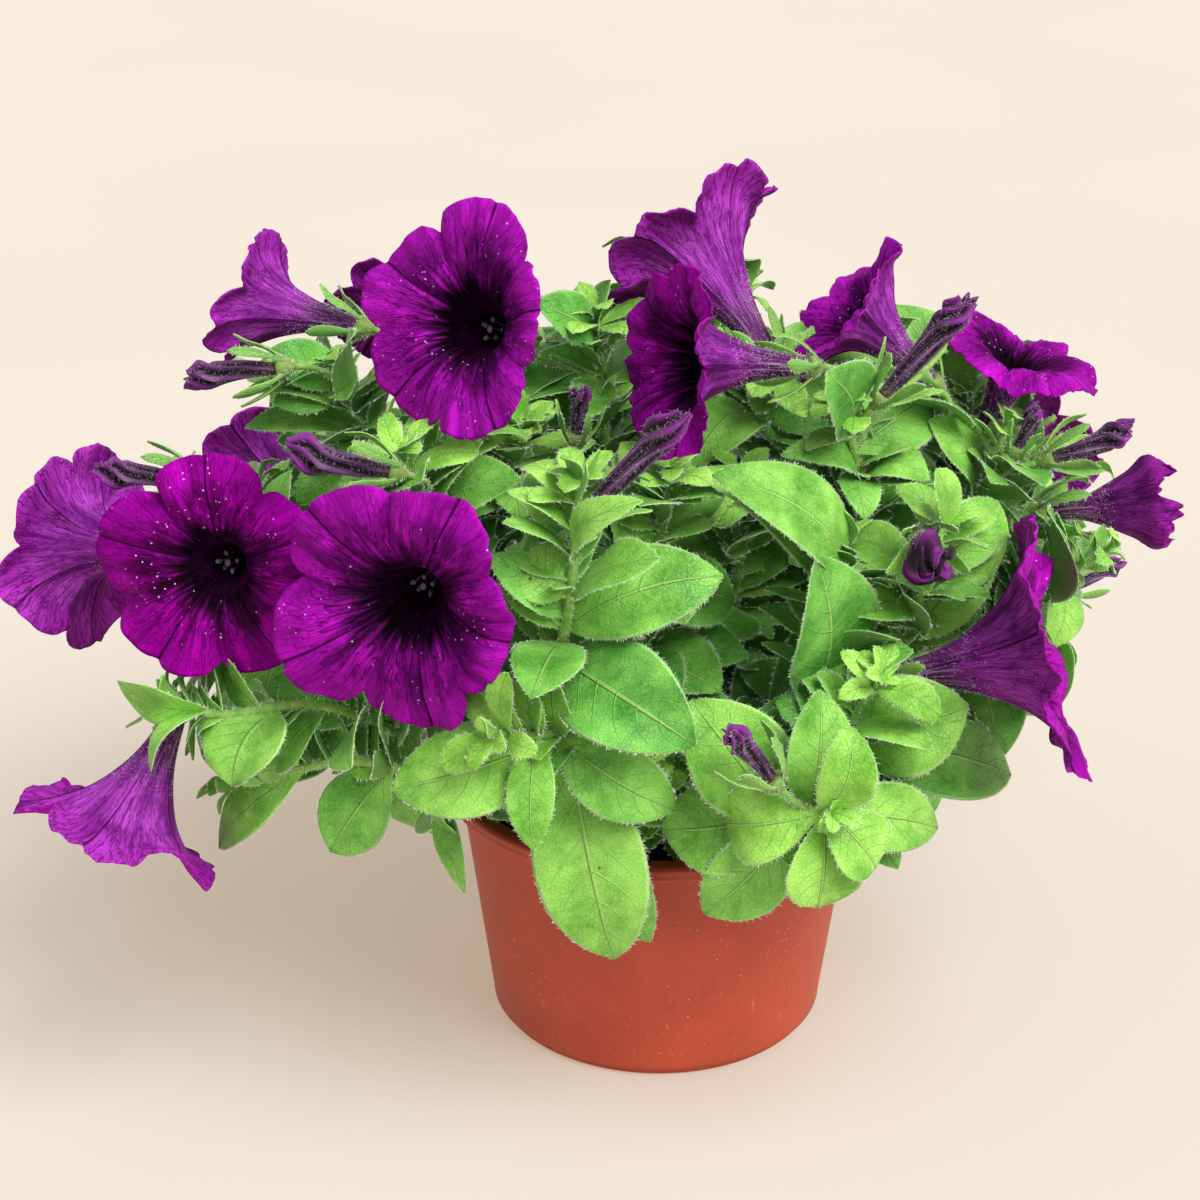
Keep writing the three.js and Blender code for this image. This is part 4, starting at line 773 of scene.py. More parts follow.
def bud_paint():
    """chart: 0 to 1 from foot to tip, and the direction round the bud; tone: 0 in a crease, 1 on a
    pleat's ridge."""
    paint = Paint("bud", Sheen_Weight=0.1, Specular_IOR_Level=0.15)
    tone = paint.tone()
    along, *ways = paint.chart()
    broad, thin = paint.streaks(ways, along, 4.0, 2.0), paint.streaks(ways, along, 13.0, 2.5)
    # Near black in the creases and paler on the ridges: the creases carry painted shade over the bud's
    # own purple.
    color = tone.step(0.25, 0.9).blend(0x1C081F, 0x78427F).under(
        (broad.step(0.54, 0.66) * 0.4, 0xB08CB4),
        (thin.step(0.5, 0.4) * 0.8, 0x200824),
        (along.step(0.7, 0.9) * tone.step(0.2, 0.8) * 0.7, 0x86168F),
        (along.step(0.2, 0.0) * 0.5, 0x6B6140),
    )
    return paint.finish(color, 0.55, thin * 0.6 + broad, 0.7, 0.0006)


def pot_paint():
    paint = Paint("terracotta_plastic", Specular_IOR_Level=0.4)
    place = paint.place()
    x, y, z = paint.split(place)
    cloud, grain = paint.noise(place, 35.0, 4.0, 0.6), paint.noise(place, 900.0)
    # Pale specks and scuffs, more of them low down.
    rare = paint.noise(place, 48.0).step(0.52, 0.66)
    specks = paint.cells(place, 420.0).step(0.16, 0.07) * rare
    scuff = paint.noise(paint.join(x * 3.0, y * 3.0, z), 120.0, 4.0, 0.7).step(0.6, 0.78)
    color = cloud.step(0.3, 0.7).blend(0xB04127, 0xC04C30).under(
        (grain.step(0.55, 0.75) * 0.25, 0x8E3822),
        (specks * 0.75, 0xDDA78E),
        (scuff * (z.step(0.06, 0.0) * 0.3 + 0.12), 0xD79A80),
    )
    # Fine lines round it from its mould.
    lines = paint.noise(paint.join(0.0, 0.0, z), 2600.0, 1.0)
    roughness = cloud.step(0.3, 0.7, 0.42, 0.56)
    return paint.finish(color, roughness, lines * 0.5 + grain * 0.5, 0.25, 0.0002)


def soil_paint():
    paint = Paint("soil")
    place = paint.place()
    lumps, grit = paint.cells(place, 420.0), paint.noise(place, 1400.0, 4.0, 0.7)
    color = grit.step(0.35, 0.65).blend(0x17100B, 0x4A3627)
    color = color.under((grit.step(0.68, 0.78) * 0.6, 0x9C8468))
    return paint.finish(color, 0.95, lumps + grit, 1.0, 0.0012)


def floor_paint():
    # The floor glows a little: painted light, which keeps the shadows that fall on it light.
    painted_glow = dict(Emission_Strength=0.4, Emission_Color=(0.98, 0.76, 0.56, 1.0))
    paint = Paint("floor", Specular_IOR_Level=0.1, **painted_glow)
    cloud = paint.noise(paint.place(), 2.2)
    return paint.finish(cloud.step(0.3, 0.7).blend(0xA3A29F, 0xA7A6A3), 0.9)


LEAF, STEM, HAIR = leaf_paint(), stem_paint(), hair_paint()
PETAL, ANTHER, BUD = petal_paint(), anther_paint(), bud_paint()


# ---------------------------------------------------------------- leaves and stems

LARGE_LEAF, LARGE_GRID, SMALL_GRID = 18, (16, 9), (10, 7)
VEINED_LEAF = 9  # how broad a leaf is from which its veins have relief
EDGE_HAIR_STEP, EDGE_HAIR, EDGE_HAIRS_LONG = 0.8, 0.15, (0.5, 1.2)
BLADE_HAIR, BLADE_HAIRS_LONG = 0.08, (0.35, 0.8)
BLADE_HAIRS = (True, 0.35), (False, 0.25)  # on the upper and the lower side, for each square mm
STEM_HAIR, STEM_HAIRS, CALYX_HAIRS = 0.12, 7, 26  # for each mm of a stem or a calyx
STALK_RADII = [0, 0.1, 0.85, 1], [1.25, 0.9, 0.9, 1.15]  # the shares of its length, and the radii there
CUP_AT, CUP_RADII = [-4.3, -3.4, -2.2, -1.0, 0.2, 0.7], [1.1, 1.7, 2.8, 3.4, 3.5, 3.0]
SHORT_SEPALS, SEPAL_WIDTH, SEPAL_ARCH = 0.7, 3.6, -0.09


def blade_of(place, rows, columns, rng):
    """The rings of a leaf: each runs over its upper side from left to right and back under it. Also
    the chart, and the way across the leaf at each ring."""
    root, tip, up, width = place["root"], place["tip"], place["up"], place["width"]
    blunt, veined = place.get("blunt", 0.0), width > VEINED_LEAF
    length = np.linalg.norm(tip - root)
    way = unit(tip - root)
    side = np.cross(up, way)
    s = np.linspace(0, 1, rows) ** 0.9
    rising, falling = mix(0.8, 1.15, blunt), mix(0.82, 0.5, blunt)
    peak = rising / (rising + falling)
    most = peak**rising * (1 - peak) ** falling
    half = width / 2 * s**rising * np.clip(1 - s, 0, 1) ** falling / most
    half = np.maximum(half, np.interp(s, [0, 0.15, 0.9, 1], [0.8, 0.7, 0.4, 0.15]))
    rise = 4 * s * (1 - s) * place["arch"] * length
    curl = place.get("curl", rng.uniform(-0.02, 0.1)) * length * ramp(0.55, 1.0, s) * (s - 0.55)
    bend = rng.uniform(-0.05, 0.05) * length * np.sin(math.pi * s)
    twist = rng.uniform(-0.3, 0.3) * s
    middle = root + np.outer(s * length, way) + np.outer(rise - curl, up) + np.outer(bend, side)
    middle[0] -= way * 0.8
    along = units(np.gradient(middle, axis=0))
    lie = np.outer(np.cos(twist), side) + np.outer(np.sin(twist), up)
    face = units(np.cross(along, lie))
    u = np.sin(np.linspace(-1, 1, columns) * math.pi / 2)
    edge = np.abs(u)
    half, s = half[:, None], s[:, None]
    wave = rng.uniform(0.04, 0.1) * half * u**2
    pace, start, apart = rng.uniform(2.5, 4.5), rng.uniform(0, 6), rng.uniform(1, 3)
    wave = wave * np.sin(pace * 2 * s + start + (u < 0) * apart)
    vein = np.abs(((s * 8 - edge * 2.2) % 1) - 0.5) - 0.25
    puff = 0.1 * half * np.abs(vein) * 2 * (1 - edge**2) * veined
    cup = LEAF_FOLD * half * edge**1.3 + wave + puff
    groove = -0.3 * bump_at(u, 0, 0.08) * veined
    thick = 0.12 + 0.16 * (1 - edge**2) + 0.3 * bump_at(u, 0, 0.12) * (1 - 0.7 * s)
    flat, face = middle[:, None] + lie[:, None] * (half * u)[..., None], face[:, None]
    over = flat + face * (cup + groove + thick)[..., None]
    under = flat + face * (cup - thick)[..., None]
    sharp = flat + face * cup[..., None]
    over[:, [0, -1]] = sharp[:, [0, -1]]
    rings = np.concatenate([over, under[:, -2:0:-1]], 1)
    above = np.r_[np.ones(columns), np.zeros(columns - 2)]
    chart = np.stack(np.broadcast_arrays(np.r_[u, u[-2:0:-1]], s, above), -1)
    return rings, chart, lie


def sample(rings, columns, count, rng, over):
    """Random points on a leaf's upper or lower side, and which way they face."""
    r, c = rng.integers(1, len(rings) - 1, count), rng.integers(0, columns - 1, count)
    width = rings.shape[1]
    first, second = (c, c + 1) if over else ((width - c) % width, (width - c - 1) % width)
    a, b, d, e = rings[r, first], rings[r, second], rings[r + 1, first], rings[r + 1, second]
    x, y = rng.random((2, count, 1))
    points = (a * (1 - x) + b * x) * (1 - y) + (d * (1 - x) + e * x) * y
    return points, units(np.cross(b - a, d - a) * (1 if over else -1))


def add_leaf(greens, fuzz, place, rng, tone):
    """One leaf, and the hairs on its edge and its two sides."""
    length = np.linalg.norm(place["tip"] - place["root"])
    rows, columns = LARGE_GRID if length > LARGE_LEAF else SMALL_GRID
    rings, chart, lie = blade_of(place, rows, columns, rng)
    greens.tube(rings, 0, chart.reshape(-1, 3), tone)
    for column, aside in ((0, -1), (columns - 1, 1)):
        run = run_of(rings[:, column])
        count = max(int(run[-1] / EDGE_HAIR_STEP), 4)
        at = np.sort(rng.random(count)) * run[-1]
        roots, ways = read_at(at, run, rings[:, column]), read_at(at, run, lie * aside)
        hairs(fuzz, roots, ways, 0.35, EDGE_HAIRS_LONG, EDGE_HAIR, rng)
    for over, per in BLADE_HAIRS:
        count = int(length * place["width"] * 0.7 * per)
        if count:
            roots, ways = sample(rings, columns, count, rng, over)
            hairs(fuzz, roots, ways, 0.3, BLADE_HAIRS_LONG, BLADE_HAIR, rng)


def add_tube(greens, fuzz, points, radii, sides, side, rng, tone, per=STEM_HAIRS, longest=1.5):
    """A round stem or stalk, and the hairs that stand out from it."""
    greens.tube(sweep(points, radii, sides, side), 1, tone=tone)
    run = run_of(points)
    count = int(run[-1] * per)
    at = rng.random(count) * run[-1]
    k = np.clip(np.searchsorted(run, at) - 1, 0, len(points) - 2)
    axis = units(points[k + 1] - points[k])
    out = units(np.cross(axis, rng.normal(size=(count, 3))))
    roots = read_at(at, run, points) + out * np.interp(at, run, radii)[:, None]
    hairs(fuzz, roots, out, 0.2, (0.5, longest), STEM_HAIR, rng)


def length_of(flower):
    return flower["deep"] if "deep" in flower else flower["long"]


def flower_frame(flower):
    """A frame on a flower: its base, the axis that it looks along, and two directions across it."""
    axis = unit(np.array(flower["faces"], float))
    x, y = across(axis, UP)
    mouth = seen(flower["mouth"] if "mouth" in flower else flower["tip"])
    return mouth - axis * length_of(flower), axis, x, y


def add_stalk(greens, fuzz, stem, flower, rng):
    """A stalk, the cup of its calyx, and five slender sepals that curve away from the flower."""
    base, axis, x, y = flower_frame(flower)
    long = length_of(flower)
    size = SHORT_SEPALS if "long" in flower and long < SHORT_BUD else 1
    start, under = stem.at(flower["at"]), base - axis * CALYX_DEPTH
    bend = under - axis * STALK_BEND * long
    points = bezier([start, mix(start, bend, 0.6), bend, under], 16)
    radii = np.interp(np.linspace(0, 1, 16), *STALK_RADII)
    add_tube(greens, fuzz, points, radii, 8, x, rng, 0.35)
    cup = base + np.outer(CUP_AT, axis)
    add_tube(greens, fuzz, cup, CUP_RADII, 10, x, rng, 0.6, CALYX_HAIRS, 1.3)
    spin = math.radians(flower.get("spin", 0))
    for i in range(SEPALS):
        turn = spin + (i + 0.5) * 2 * math.pi / SEPALS + rng.uniform(-0.1, 0.1)
        out = x * math.cos(turn) + y * math.sin(turn)
        tip = base + axis * SEPAL_LENGTH * size + out * SEPAL_REACH * size
        root = base - axis * 0.8 + out * 3.1
        up, way = unit(axis * 0.6 - out), unit(tip - root)
        sepal = dict(root=root, tip=tip, up=unit(up - way * up.dot(way)), width=SEPAL_WIDTH * size)
        sepal.update(arch=SEPAL_ARCH, curl=rng.uniform(-0.3, 0.5), blunt=0.8)
        add_leaf(greens, fuzz, sepal, rng, rng.uniform(0.15, 0.5))


# ---------------------------------------------------------------- corollas and buds

# The profiles of a funnel and of a flat open flower: [share of the way out, share of the radius], and
# [share of the way out, share of the depth].
CONE = [[0, 0], [0.42, 0.2], [0.62, 0.48], [0.82, 0.76], [1, 1]]
FACE = [[0, 0], [0.42, 0.12], [0.62, 0.3], [0.82, 0.66], [1, 1]]
CONE_DEPTH = [[0, 0], [0.42, 0.45], [0.62, 0.7], [0.82, 0.88], [1, 1]]
FACE_DEPTH = [[0, 0], [0.42, 0.62], [0.62, 0.9], [0.82, 1.02], [1, 1]]
TUBE_RADII = [2, 1.5]
LOBES, NOTCH, LOBE_TILT, FOLD_RISE, FOLD_PULL = 5, 0.13, 0.3, 0.8, 0.45
WAVES = [[3, 0.05], [7, 0.03]]
RUFFLES, PLEATS = (5, 6, 8, 11, 14, 19, 27), (31, 37, 43, 52, 61)
PETAL_GRID, PETAL_SKIN = (40, 140), 0.34  # the skin is how thick a petal is
FLOWER_HAIR, PETAL_HAIRS, PETAL_HAIRS_LONG, HAIRY_PETAL = 0.08, 800, (0.4, 1.2), 0.24
# How deep a corolla's colour is, from 0 to 1, where the photo shows it well.
TONES = {
    "far_left": 0.25, "low_left": 0.35, "top": 0.15, "upper_left": 0.25, "upper_right": 0.3, "left": 1.0,
    "right": 0.7, "centre": 0.75, "far_right": 1.0, "left_front": 0.6, "top_left": 0.35,
}
STAMENS, STAMEN_RADIUS, ANTHER_RADII, STIGMA_RADII = 5, 0.3, (0.8, 0.6, 1.3), (1.1, 0.9, 0.7)
BUD_GRID, BUD_FOOT, BUD_TWIST = (36, 60), 1.7, 0.9
BUD_DEEP_CREASE, BUD_TIP_CREASE, BUD_PLEAT = 0.62, 0.42, 1.12
BUD_PROFILE = [[0, 0], [0.3, 0.3], [0.6, 0.5], [0.82, 0.92], [1.0, 0.78]]
BUD_HAIR, BUD_HAIRS, BUD_HAIRS_LONG = 0.06, 20, (0.4, 1.6)  # so many for each mm of a bud
CRUMPLED, CRUMPLED_FOLDS, CRUMPLED_HAIRY = "crumpled", (2, 3, 5, 7, 9), 0.4


def corolla_shape(bloom, index):
    """The radius and the depth of a corolla's middle surface, by the solids' rule and with its finer
    ruffles, pleats and veins. Also its turn."""
    draw = draw_from(RULE_SEED + index)
    tilts = np.array([draw() - 0.5 for _ in range(LOBES)])
    bends = [(count, high, draw() * 2 * math.pi) for count, high in WAVES]
    phases = [phase for _, _, phase in bends]
    rng = np.random.default_rng(RUFFLE_SEED + index)
    radius, opened = bloom["across"] / 2, bloom["open"]
    cone, face = (
        [[s, share * radius + (TUBE_RADII[k] if k < 2 else 0)] for k, (s, share) in enumerate(stops)]
        for stops in (CONE, FACE)
    )
    fold_at, fold_by = math.radians(bloom["fold"][0]), bloom["fold"][1]
    spin = math.radians(bloom["spin"])
    sizes = rng.uniform(-1, 1, LOBES)
    ruffles = [(n, rng.uniform(0.4, 1) / n**0.8, rng.uniform(0, 6.3)) for n in RUFFLES]
    pleats = [(n, rng.uniform(0.4, 1), rng.uniform(0, 6.3)) for n in PLEATS]

    def shape(turn, s):
        lobed = (turn - spin) * LOBES / (2 * math.pi)
        lobe = np.floor(lobed).astype(int) % LOBES
        rise = np.abs(np.sin(lobed * math.pi))
        limb, edge = ramp(0.5, 1, s), ramp(0.72, 1, s)
        fold = fold_by * np.maximum(0, np.cos(turn - fold_at)) ** 2 * limb
        off = np.minimum(lobed % 1, 1 - lobed % 1)
        notch = 1 - NOTCH * limb * (1 - rise**0.6)
        notch = notch - 0.055 * ramp(0.8, 1, s) * bump_at(off, 0, 0.07)
        notch = notch - 0.02 * edge * bump_at(lobed % 1, 0.5, 0.04)
        notch = notch + 0.045 * edge * rise * sizes[lobe]
        nibbled = 1 - 0.003 * edge * waves(pleats, turn)
        nibbled = nibbled + 0.022 * edge * waves(ruffles, turn, np.cos)
        # The tilt of a lobe fades towards its neighbours, so it may jump between them.
        bend = waves(bends, turn) + LOBE_TILT * tilts[lobe] * rise + FOLD_RISE * fold
        puff = 0.045 * ramp(0.42, 0.72, s) * np.abs(np.sin(2 * math.pi * lobed)) ** 0.7
        ruffle = 0.16 * edge * waves(ruffles, turn)
        pleat = 0.006 * ramp(0.4, 0.7, s) * waves(pleats, turn)
        back = 0.05 * edge**2 * (1 + np.sin(4 * turn + phases[0]))
        vein = bump_at(lobed % 1, 0.5, 0.035) * ramp(0.2, 0.6, s) * (1 - 0.6 * edge)
        seam = bump_at(off, 0, 0.05) * limb
        r = mix(eased(cone, s), eased(face, s), opened) * notch * nibbled
        z = bloom["deep"] * mix(eased(CONE_DEPTH, s), eased(FACE_DEPTH, s), opened)
        z = z + radius * (limb * bend + puff + ruffle + pleat - back) - 0.9 * vein - 0.7 * seam
        flare = (1 - opened) * ramp(0.78, 1, s)
        r = r * (1 + 0.1 * flare)
        ripple = 0.04 + 0.05 * np.sin(3 * turn + phases[1]) + 0.04 * np.sin(5 * turn + phases[0])
        z = z - radius * flare * ripple
        # A corolla that is hardly open is full below its mouth and crumpled at its edge.
        closed = max(0.0, 1 - opened / 0.1)
        full = 1.1 * ramp(0.25, 0.6, s) * ramp(1.0, 0.72, s) - 0.35 * ramp(0.85, 1, s)
        z = z + radius * closed * edge * 0.7 * waves(ruffles, turn)
        return r * (1 + closed * full) * (1 - FOLD_PULL * fold), z

    return shape, spin


def make_corolla(bloom, index):
    """A corolla with its stamens and stigma. Gives its rings, for the hairs."""
    rng = np.random.default_rng(STAMEN_SEED + index)
    base, axis, x, y = flower_frame(bloom)
    shape, spin = corolla_shape(bloom, index)
    rows, columns = PETAL_GRID
    s = np.linspace(0, 1, rows)[:, None] ** 0.85
    turn = spin + 2 * math.pi * np.arange(columns)[None] / columns
    turn = np.broadcast_to(turn, (rows, columns))
    r, z = shape(turn, s)
    out = np.cos(turn)[..., None] * x + np.sin(turn)[..., None] * y
    middle = base + out * r[..., None] + z[..., None] * axis
    around = np.roll(middle, -1, 1) - np.roll(middle, 1, 1)
    normal = units(np.cross(around, np.gradient(middle, axis=0)))
    inward = normal if (normal * out)[5:20].sum() < 0 else -normal
    outer, inner = middle - inward * PETAL_SKIN / 2, middle + inward * PETAL_SKIN / 2
    inner[0] += axis * 0.6
    rings = np.concatenate([outer, inner[::-1]])
    flat = s * np.cos(turn - spin), s * np.sin(turn - spin)
    outside, inside = (np.dstack([*flat, np.full_like(r, side)]) for side in (0, 1))
    chart = np.concatenate([outside, inside[::-1]])
    made = Piece()
    tone = TONES.get(bloom["name"], rng.uniform(0.3, 0.7))
    made.tube(rings, 0, chart.reshape(-1, 3), tone)
    # The stamens and the pale stigma stand in the throat.
    wide, deep = shape(np.array(0.0), np.array(0.4))
    for i in range(STAMENS):
        at = 2 * math.pi * (i + rng.uniform(-0.2, 0.2)) / STAMENS
        way = x * math.cos(at) + y * math.sin(at)
        head = base + axis * deep * rng.uniform(0.92, 1.12) + way * wide * 0.5
        foot = base + axis * deep * 0.25 + way * 1.0
        line = bezier([foot, mix(foot, head, 0.4), mix(foot, head, 0.8), head], 6)
        made.tube(sweep(line, [STAMEN_RADIUS] * 6, 5, x), 1, tone=1.0)
        lean = unit(axis + way * 0.4)
        made.tube(ball(head, ANTHER_RADII, (*across(lean, UP), lean)), 1, tone=0.0)
    made.tube(ball(base + axis * deep * 1.1, STIGMA_RADII, (x, y, axis)), 1, tone=0.3)
    name = bloom["name"]
    made.make("corolla_" + name, "petal_purple", [PETAL, ANTHER, STEM], "bloom_" + name)
    return rings


def make_bud(bud, index):
    """A pleated and twisted bud, or the crumpled one. Gives its rings, for the hairs."""
    base, axis, x, y = flower_frame(bud)
    rng = np.random.default_rng(BUD_SEED + index)
    rows, columns = BUD_GRID
    # The last rings turn in over the tip and down into a small hollow.
    s = np.r_[np.linspace(0, 1, rows - 4) ** 0.9, 0.995, 0.975, 0.945, 0.93][:, None]
    inward = np.r_[np.ones(rows - 4), 0.74, 0.46, 0.22, 0.05][:, None]
    turn = 2 * math.pi * np.arange(columns)[None] / columns
    twist = BUD_TWIST * s + rng.uniform(0.9, 1.5) * ramp(0.62, 1, s)
    swell = eased(BUD_PROFILE, s)
    wave = mix(0.5 + 0.5 * np.cos(LOBES * turn), 1 - np.abs(np.sin(LOBES / 2 * turn)), 0.55)
    crease = mix(BUD_DEEP_CREASE, BUD_TIP_CREASE, ramp(0.6, 1, s))
    pleat = mix(1, mix(crease, BUD_PLEAT, wave), ramp(0.0, 0.5, s))
    fine = 1 + 0.07 * s * np.cos(3 * LOBES * turn + rng.uniform(0, 6))
    fine = fine + 0.035 * s * np.cos(6 * LOBES * turn)
    uneven = 1 + 0.16 * ramp(0.6, 0.9, s) * np.sin(2 * turn + rng.uniform(0, 6))
    tapered = 1 - 0.42 * ramp(0.84, 1.0, s)
    radius = mix(BUD_FOOT, bud["thick"] / 2, swell) * pleat * fine * uneven * tapered * inward
    lift = 0.05 * (wave - 0.6) + 0.05 * np.sin(turn + rng.uniform(0, 6))
    lift = bud["long"] * ramp(0.78, 1, s) * lift
    hairy, shown = 1, s
    if bud["name"] == CRUMPLED:
        hairy, shown = CRUMPLED_HAIRY, mix(0.86, 1.0, s)
        folds = [(n, rng.uniform(0.5, 1), rng.uniform(0, 6), rng.uniform(4, 11)) for n in CRUMPLED_FOLDS]
        ridge = lambda n, phase: 1 - 2 * np.abs(np.sin(n / 2 * turn + phase))
        crush = sum(high / n**0.5 * ridge(n, p + k * s) for n, high, p, k in folds)
        radius = radius * (1 + 0.3 * crush * s)
        lift = lift + 2.0 * s * sum(high * ridge(n, p) for n, high, p, _ in folds[1:])
        # The crumpled bud's tone follows its folds, so painted shade falls in their hollows.
        wave = np.clip(0.62 + 0.5 * crush, 0.2, 1)
    chart = np.stack(np.broadcast_arrays(shown, np.cos(turn), np.sin(turn)), -1)
    turn = turn + twist
    rings = base + (np.cos(turn)[..., None] * x + np.sin(turn)[..., None] * y) * radius[..., None]
    rings = rings + (bud["long"] * s + lift)[..., None] * axis
    sway = x * rng.uniform(-1, 1) + y * rng.uniform(-1, 1)
    rings = rings + (0.05 * bud["long"] * np.sin(math.pi * s))[..., None] * sway
    made = Piece()
    # Each corner's tone is the pleats' wave: low in a crease, where the bud's paint puts painted shade.
    made.tube(rings, 0, chart.reshape(-1, 3), np.broadcast_to(wave, radius.shape).ravel())
    made.make("flowerbud_" + bud["name"], "bud_purple", [BUD], "bud_" + bud["name"])
    return rings, hairy


def surface_hairs(fuzz, rings, count, rng, share, lengths, thick):
    """Hairs spread over the first share of a tube of rings, more or less evenly."""
    rows, columns = rings.shape[:2]
    r = rng.integers(0, max(int(share * (rows - 2)), 1), count)
    c = rng.integers(0, columns, count)
    a, b, d = rings[r, c], rings[r, (c + 1) % columns], rings[r + 1, c]
    x, y = rng.random((2, count, 1))
    points, facing = a + (b - a) * x + (d - a) * y, units(np.cross(b - a, d - a))
    hairs(fuzz, points, facing, 0.3, lengths, thick, rng)


# ---------------------------------------------------------------- pot and soil

POT_SIDES, POT_ROWS, INSIDE_ROWS = 160, 16, 10
SOIL_SIDES, SOIL_ROWS, SOIL_LEVEL = 180, 60, 44  # the relief is full inside the level radius
CRUMBS, CRUMB_SIZES = 900, (0.4, 1.5)


def wall_radius(z):
    return mix(WALL_FOOT, RIM_RADIUS - LIP_WIDTH, z / (POT_HEIGHT - LIP_HEIGHT))


def lathe(profile, sides):
    """The corners and the faces of a turned body, with one corner at each end on the axis."""
    turn = 2 * math.pi * np.arange(sides) / sides
    inner = profile[1:-1]
    rings = np.array([[(r * math.cos(t), r * math.sin(t), z) for t in turn] for r, z in inner])
    corners = np.concatenate([rings.reshape(-1, 3), [(0, 0, profile[0][1])], [(0, 0, profile[-1][1])]])
    faces = grid(len(inner), sides)[:-2]
    first, last, top = len(corners) - 2, len(corners) - 1, (len(inner) - 1) * sides
    faces += [[first, (k + 1) % sides, k] for k in range(sides)]
    faces += [[last, top + k, top + (k + 1) % sides] for k in range(sides)]
    return corners, faces


def make_pot():
    lip, rim, base = POT_HEIGHT - LIP_HEIGHT, RIM_RADIUS, BASE_RADIUS
    bottom = [[0, 1.2], [25, 1.0], [base - 5, 0.6], [base - 4, 0], [base - 1.2, 0]]
    foot = [
        [base - 0.5, 0.5], [base - 0.4, FOOT_HEIGHT - 0.2], [base - 0.1, FOOT_HEIGHT + 0.1],
        [wall_radius(FOOT_HEIGHT) + 0.2, FOOT_HEIGHT + 0.7],
    ]
    wall = [[wall_radius(z), z] for z in np.linspace(4, lip - 1.5, POT_ROWS)]
    top = wall_radius(POT_HEIGHT)
    bead = [
        [wall_radius(lip - 1) + 0.2, lip - 0.6], [wall_radius(lip) + 1.2, lip - 0.1],
        [rim - 1.2, lip + 0.1], [rim - 0.4, lip + 0.5], [rim - 0.1, lip + 1.1],
        [rim - 0.35, lip + 2.0], [rim - 0.35, lip + 2.6], [rim, lip + 3.2],
        [rim - 0.1, POT_HEIGHT - 1.0], [rim - 0.7, POT_HEIGHT - 0.25], [rim - 1.6, POT_HEIGHT],
        [top + 0.4, POT_HEIGHT], [top - 0.6, POT_HEIGHT - 0.3], [top - WALL, POT_HEIGHT - 1.2],
    ]
    inside = [[wall_radius(z) - WALL, z] for z in np.linspace(lip, 5, INSIDE_ROWS)]
    edge = wall_radius(FLOOR) - WALL
    floor = [[edge - 1.5, FLOOR + 0.4], [edge - 4, FLOOR], [0, FLOOR]]
    made = Piece()
    made.add(*lathe(bottom + foot + wall + bead + inside + floor, POT_SIDES))
    pot = made.make("pot_shell", "pot_plastic", [pot_paint()], "pot")
    cutter = Piece()
    for i in range(DRAIN_HOLES):
        turn = (i + 0.5) * 2 * math.pi / DRAIN_HOLES
        middle = DRAIN_CIRCLE * np.array([math.cos(turn), math.sin(turn), 0])
        line = [middle - UP * 3, middle + UP * 6]
        cutter.tube(sweep(line, [DRAIN_RADIUS] * 2, 24, np.array([1.0, 0, 0])))
    drill = show("drill", cutter.mesh("drill"))
    bore = pot.modifiers.new("drain", "BOOLEAN")
    bore.operation, bore.object, bore.solver = "DIFFERENCE", drill, "EXACT"
    graph = bpy.context.evaluated_depsgraph_get()
    drilled = bpy.data.meshes.new_from_object(pot.evaluated_get(graph))
    pot.modifiers.clear()
    pot.data = drilled
    bpy.data.objects.remove(drill)


def soil_room(z):
    return wall_radius(z) - WALL - GAP


def soil_height(x, y, radius):
    """The uneven top of the soil, which levels out at the pot's wall."""
    relief = np.sin(x * 0.23 + 1) * np.cos(y * 0.19) + 0.5 * np.sin(x * 0.11 - y * 0.31)
    return SOIL_TOP + SOIL_RELIEF * relief * ramp(soil_room(SOIL_TOP), SOIL_LEVEL, radius)


def make_soil():
    rng = np.random.default_rng(SOIL_SEED)
    room = soil_room(SOIL_TOP)
    turn = 2 * math.pi * np.arange(SOIL_SIDES) / SOIL_SIDES

    def ring(radius, z=None):
        x, y = radius * np.cos(turn), radius * np.sin(turn)
        return np.stack([x, y, soil_height(x, y, radius) if z is None else np.full_like(x, z)], 1)

    radii = [room, *np.linspace(room - 0.8, 1.2, SOIL_ROWS)]
    rings = np.array([ring(radius) for radius in radii])
    for height, near in ((0.9, 3), (0.6, 1)):
        rough = rng.normal(size=rings.shape[:2])
        for _ in range(near):
            rough = (rough + np.roll(rough, 1, 1) + np.roll(rough, -1, 1)) / 3**0.5
            rough[1:-1] = (rough[:-2] + rough[1:-1] + rough[2:]) / 3**0.5
        rings[1:, :, 2] += np.clip(rough[1:] * height * 0.5, -1.2, 1.2)
    foot = (soil_room(3) - 1, FLOOR + GAP), (soil_room(4), 4), (room, SOIL_TOP - 2)
    made = Piece()
    made.tube(np.concatenate([[ring(*place) for place in foot], rings]))
    # Crumbs and bits of bark lie on it.
    for _ in range(CRUMBS):
        radius, at = (room - 1.5) * math.sqrt(rng.random()), rng.uniform(0, 2 * math.pi)
        x, y = radius * math.cos(at), radius * math.sin(at)
        size = rng.uniform(*CRUMB_SIZES)
        axes = np.linalg.qr(rng.normal(size=(3, 3)))[0]
        middle = np.array([x, y, soil_height(x, y, radius) + 0.2])
        crumb = ball(middle, size * rng.uniform(0.4, 1, 3), axes, 4, 6)
        made.tube(crumb + rng.normal(0, 0.1 * size, crumb.shape))
    made.make("soil_heap", "soil_peat", [soil_paint()], "soil")


# ---------------------------------------------------------------- what is in the way of a leaf


def corners_of(node):
    """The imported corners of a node, in millimetres."""
    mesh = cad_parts[node].data
    flat = np.zeros(len(mesh.vertices) * 3)
    mesh.vertices.foreach_get("co", flat)
    return flat.reshape(-1, 3) / MM


def surface_of(node):
    faces = [tuple(face.vertices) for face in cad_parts[node].data.polygons]
    return BVHTree.FromPolygons(corners_of(node).tolist(), faces)


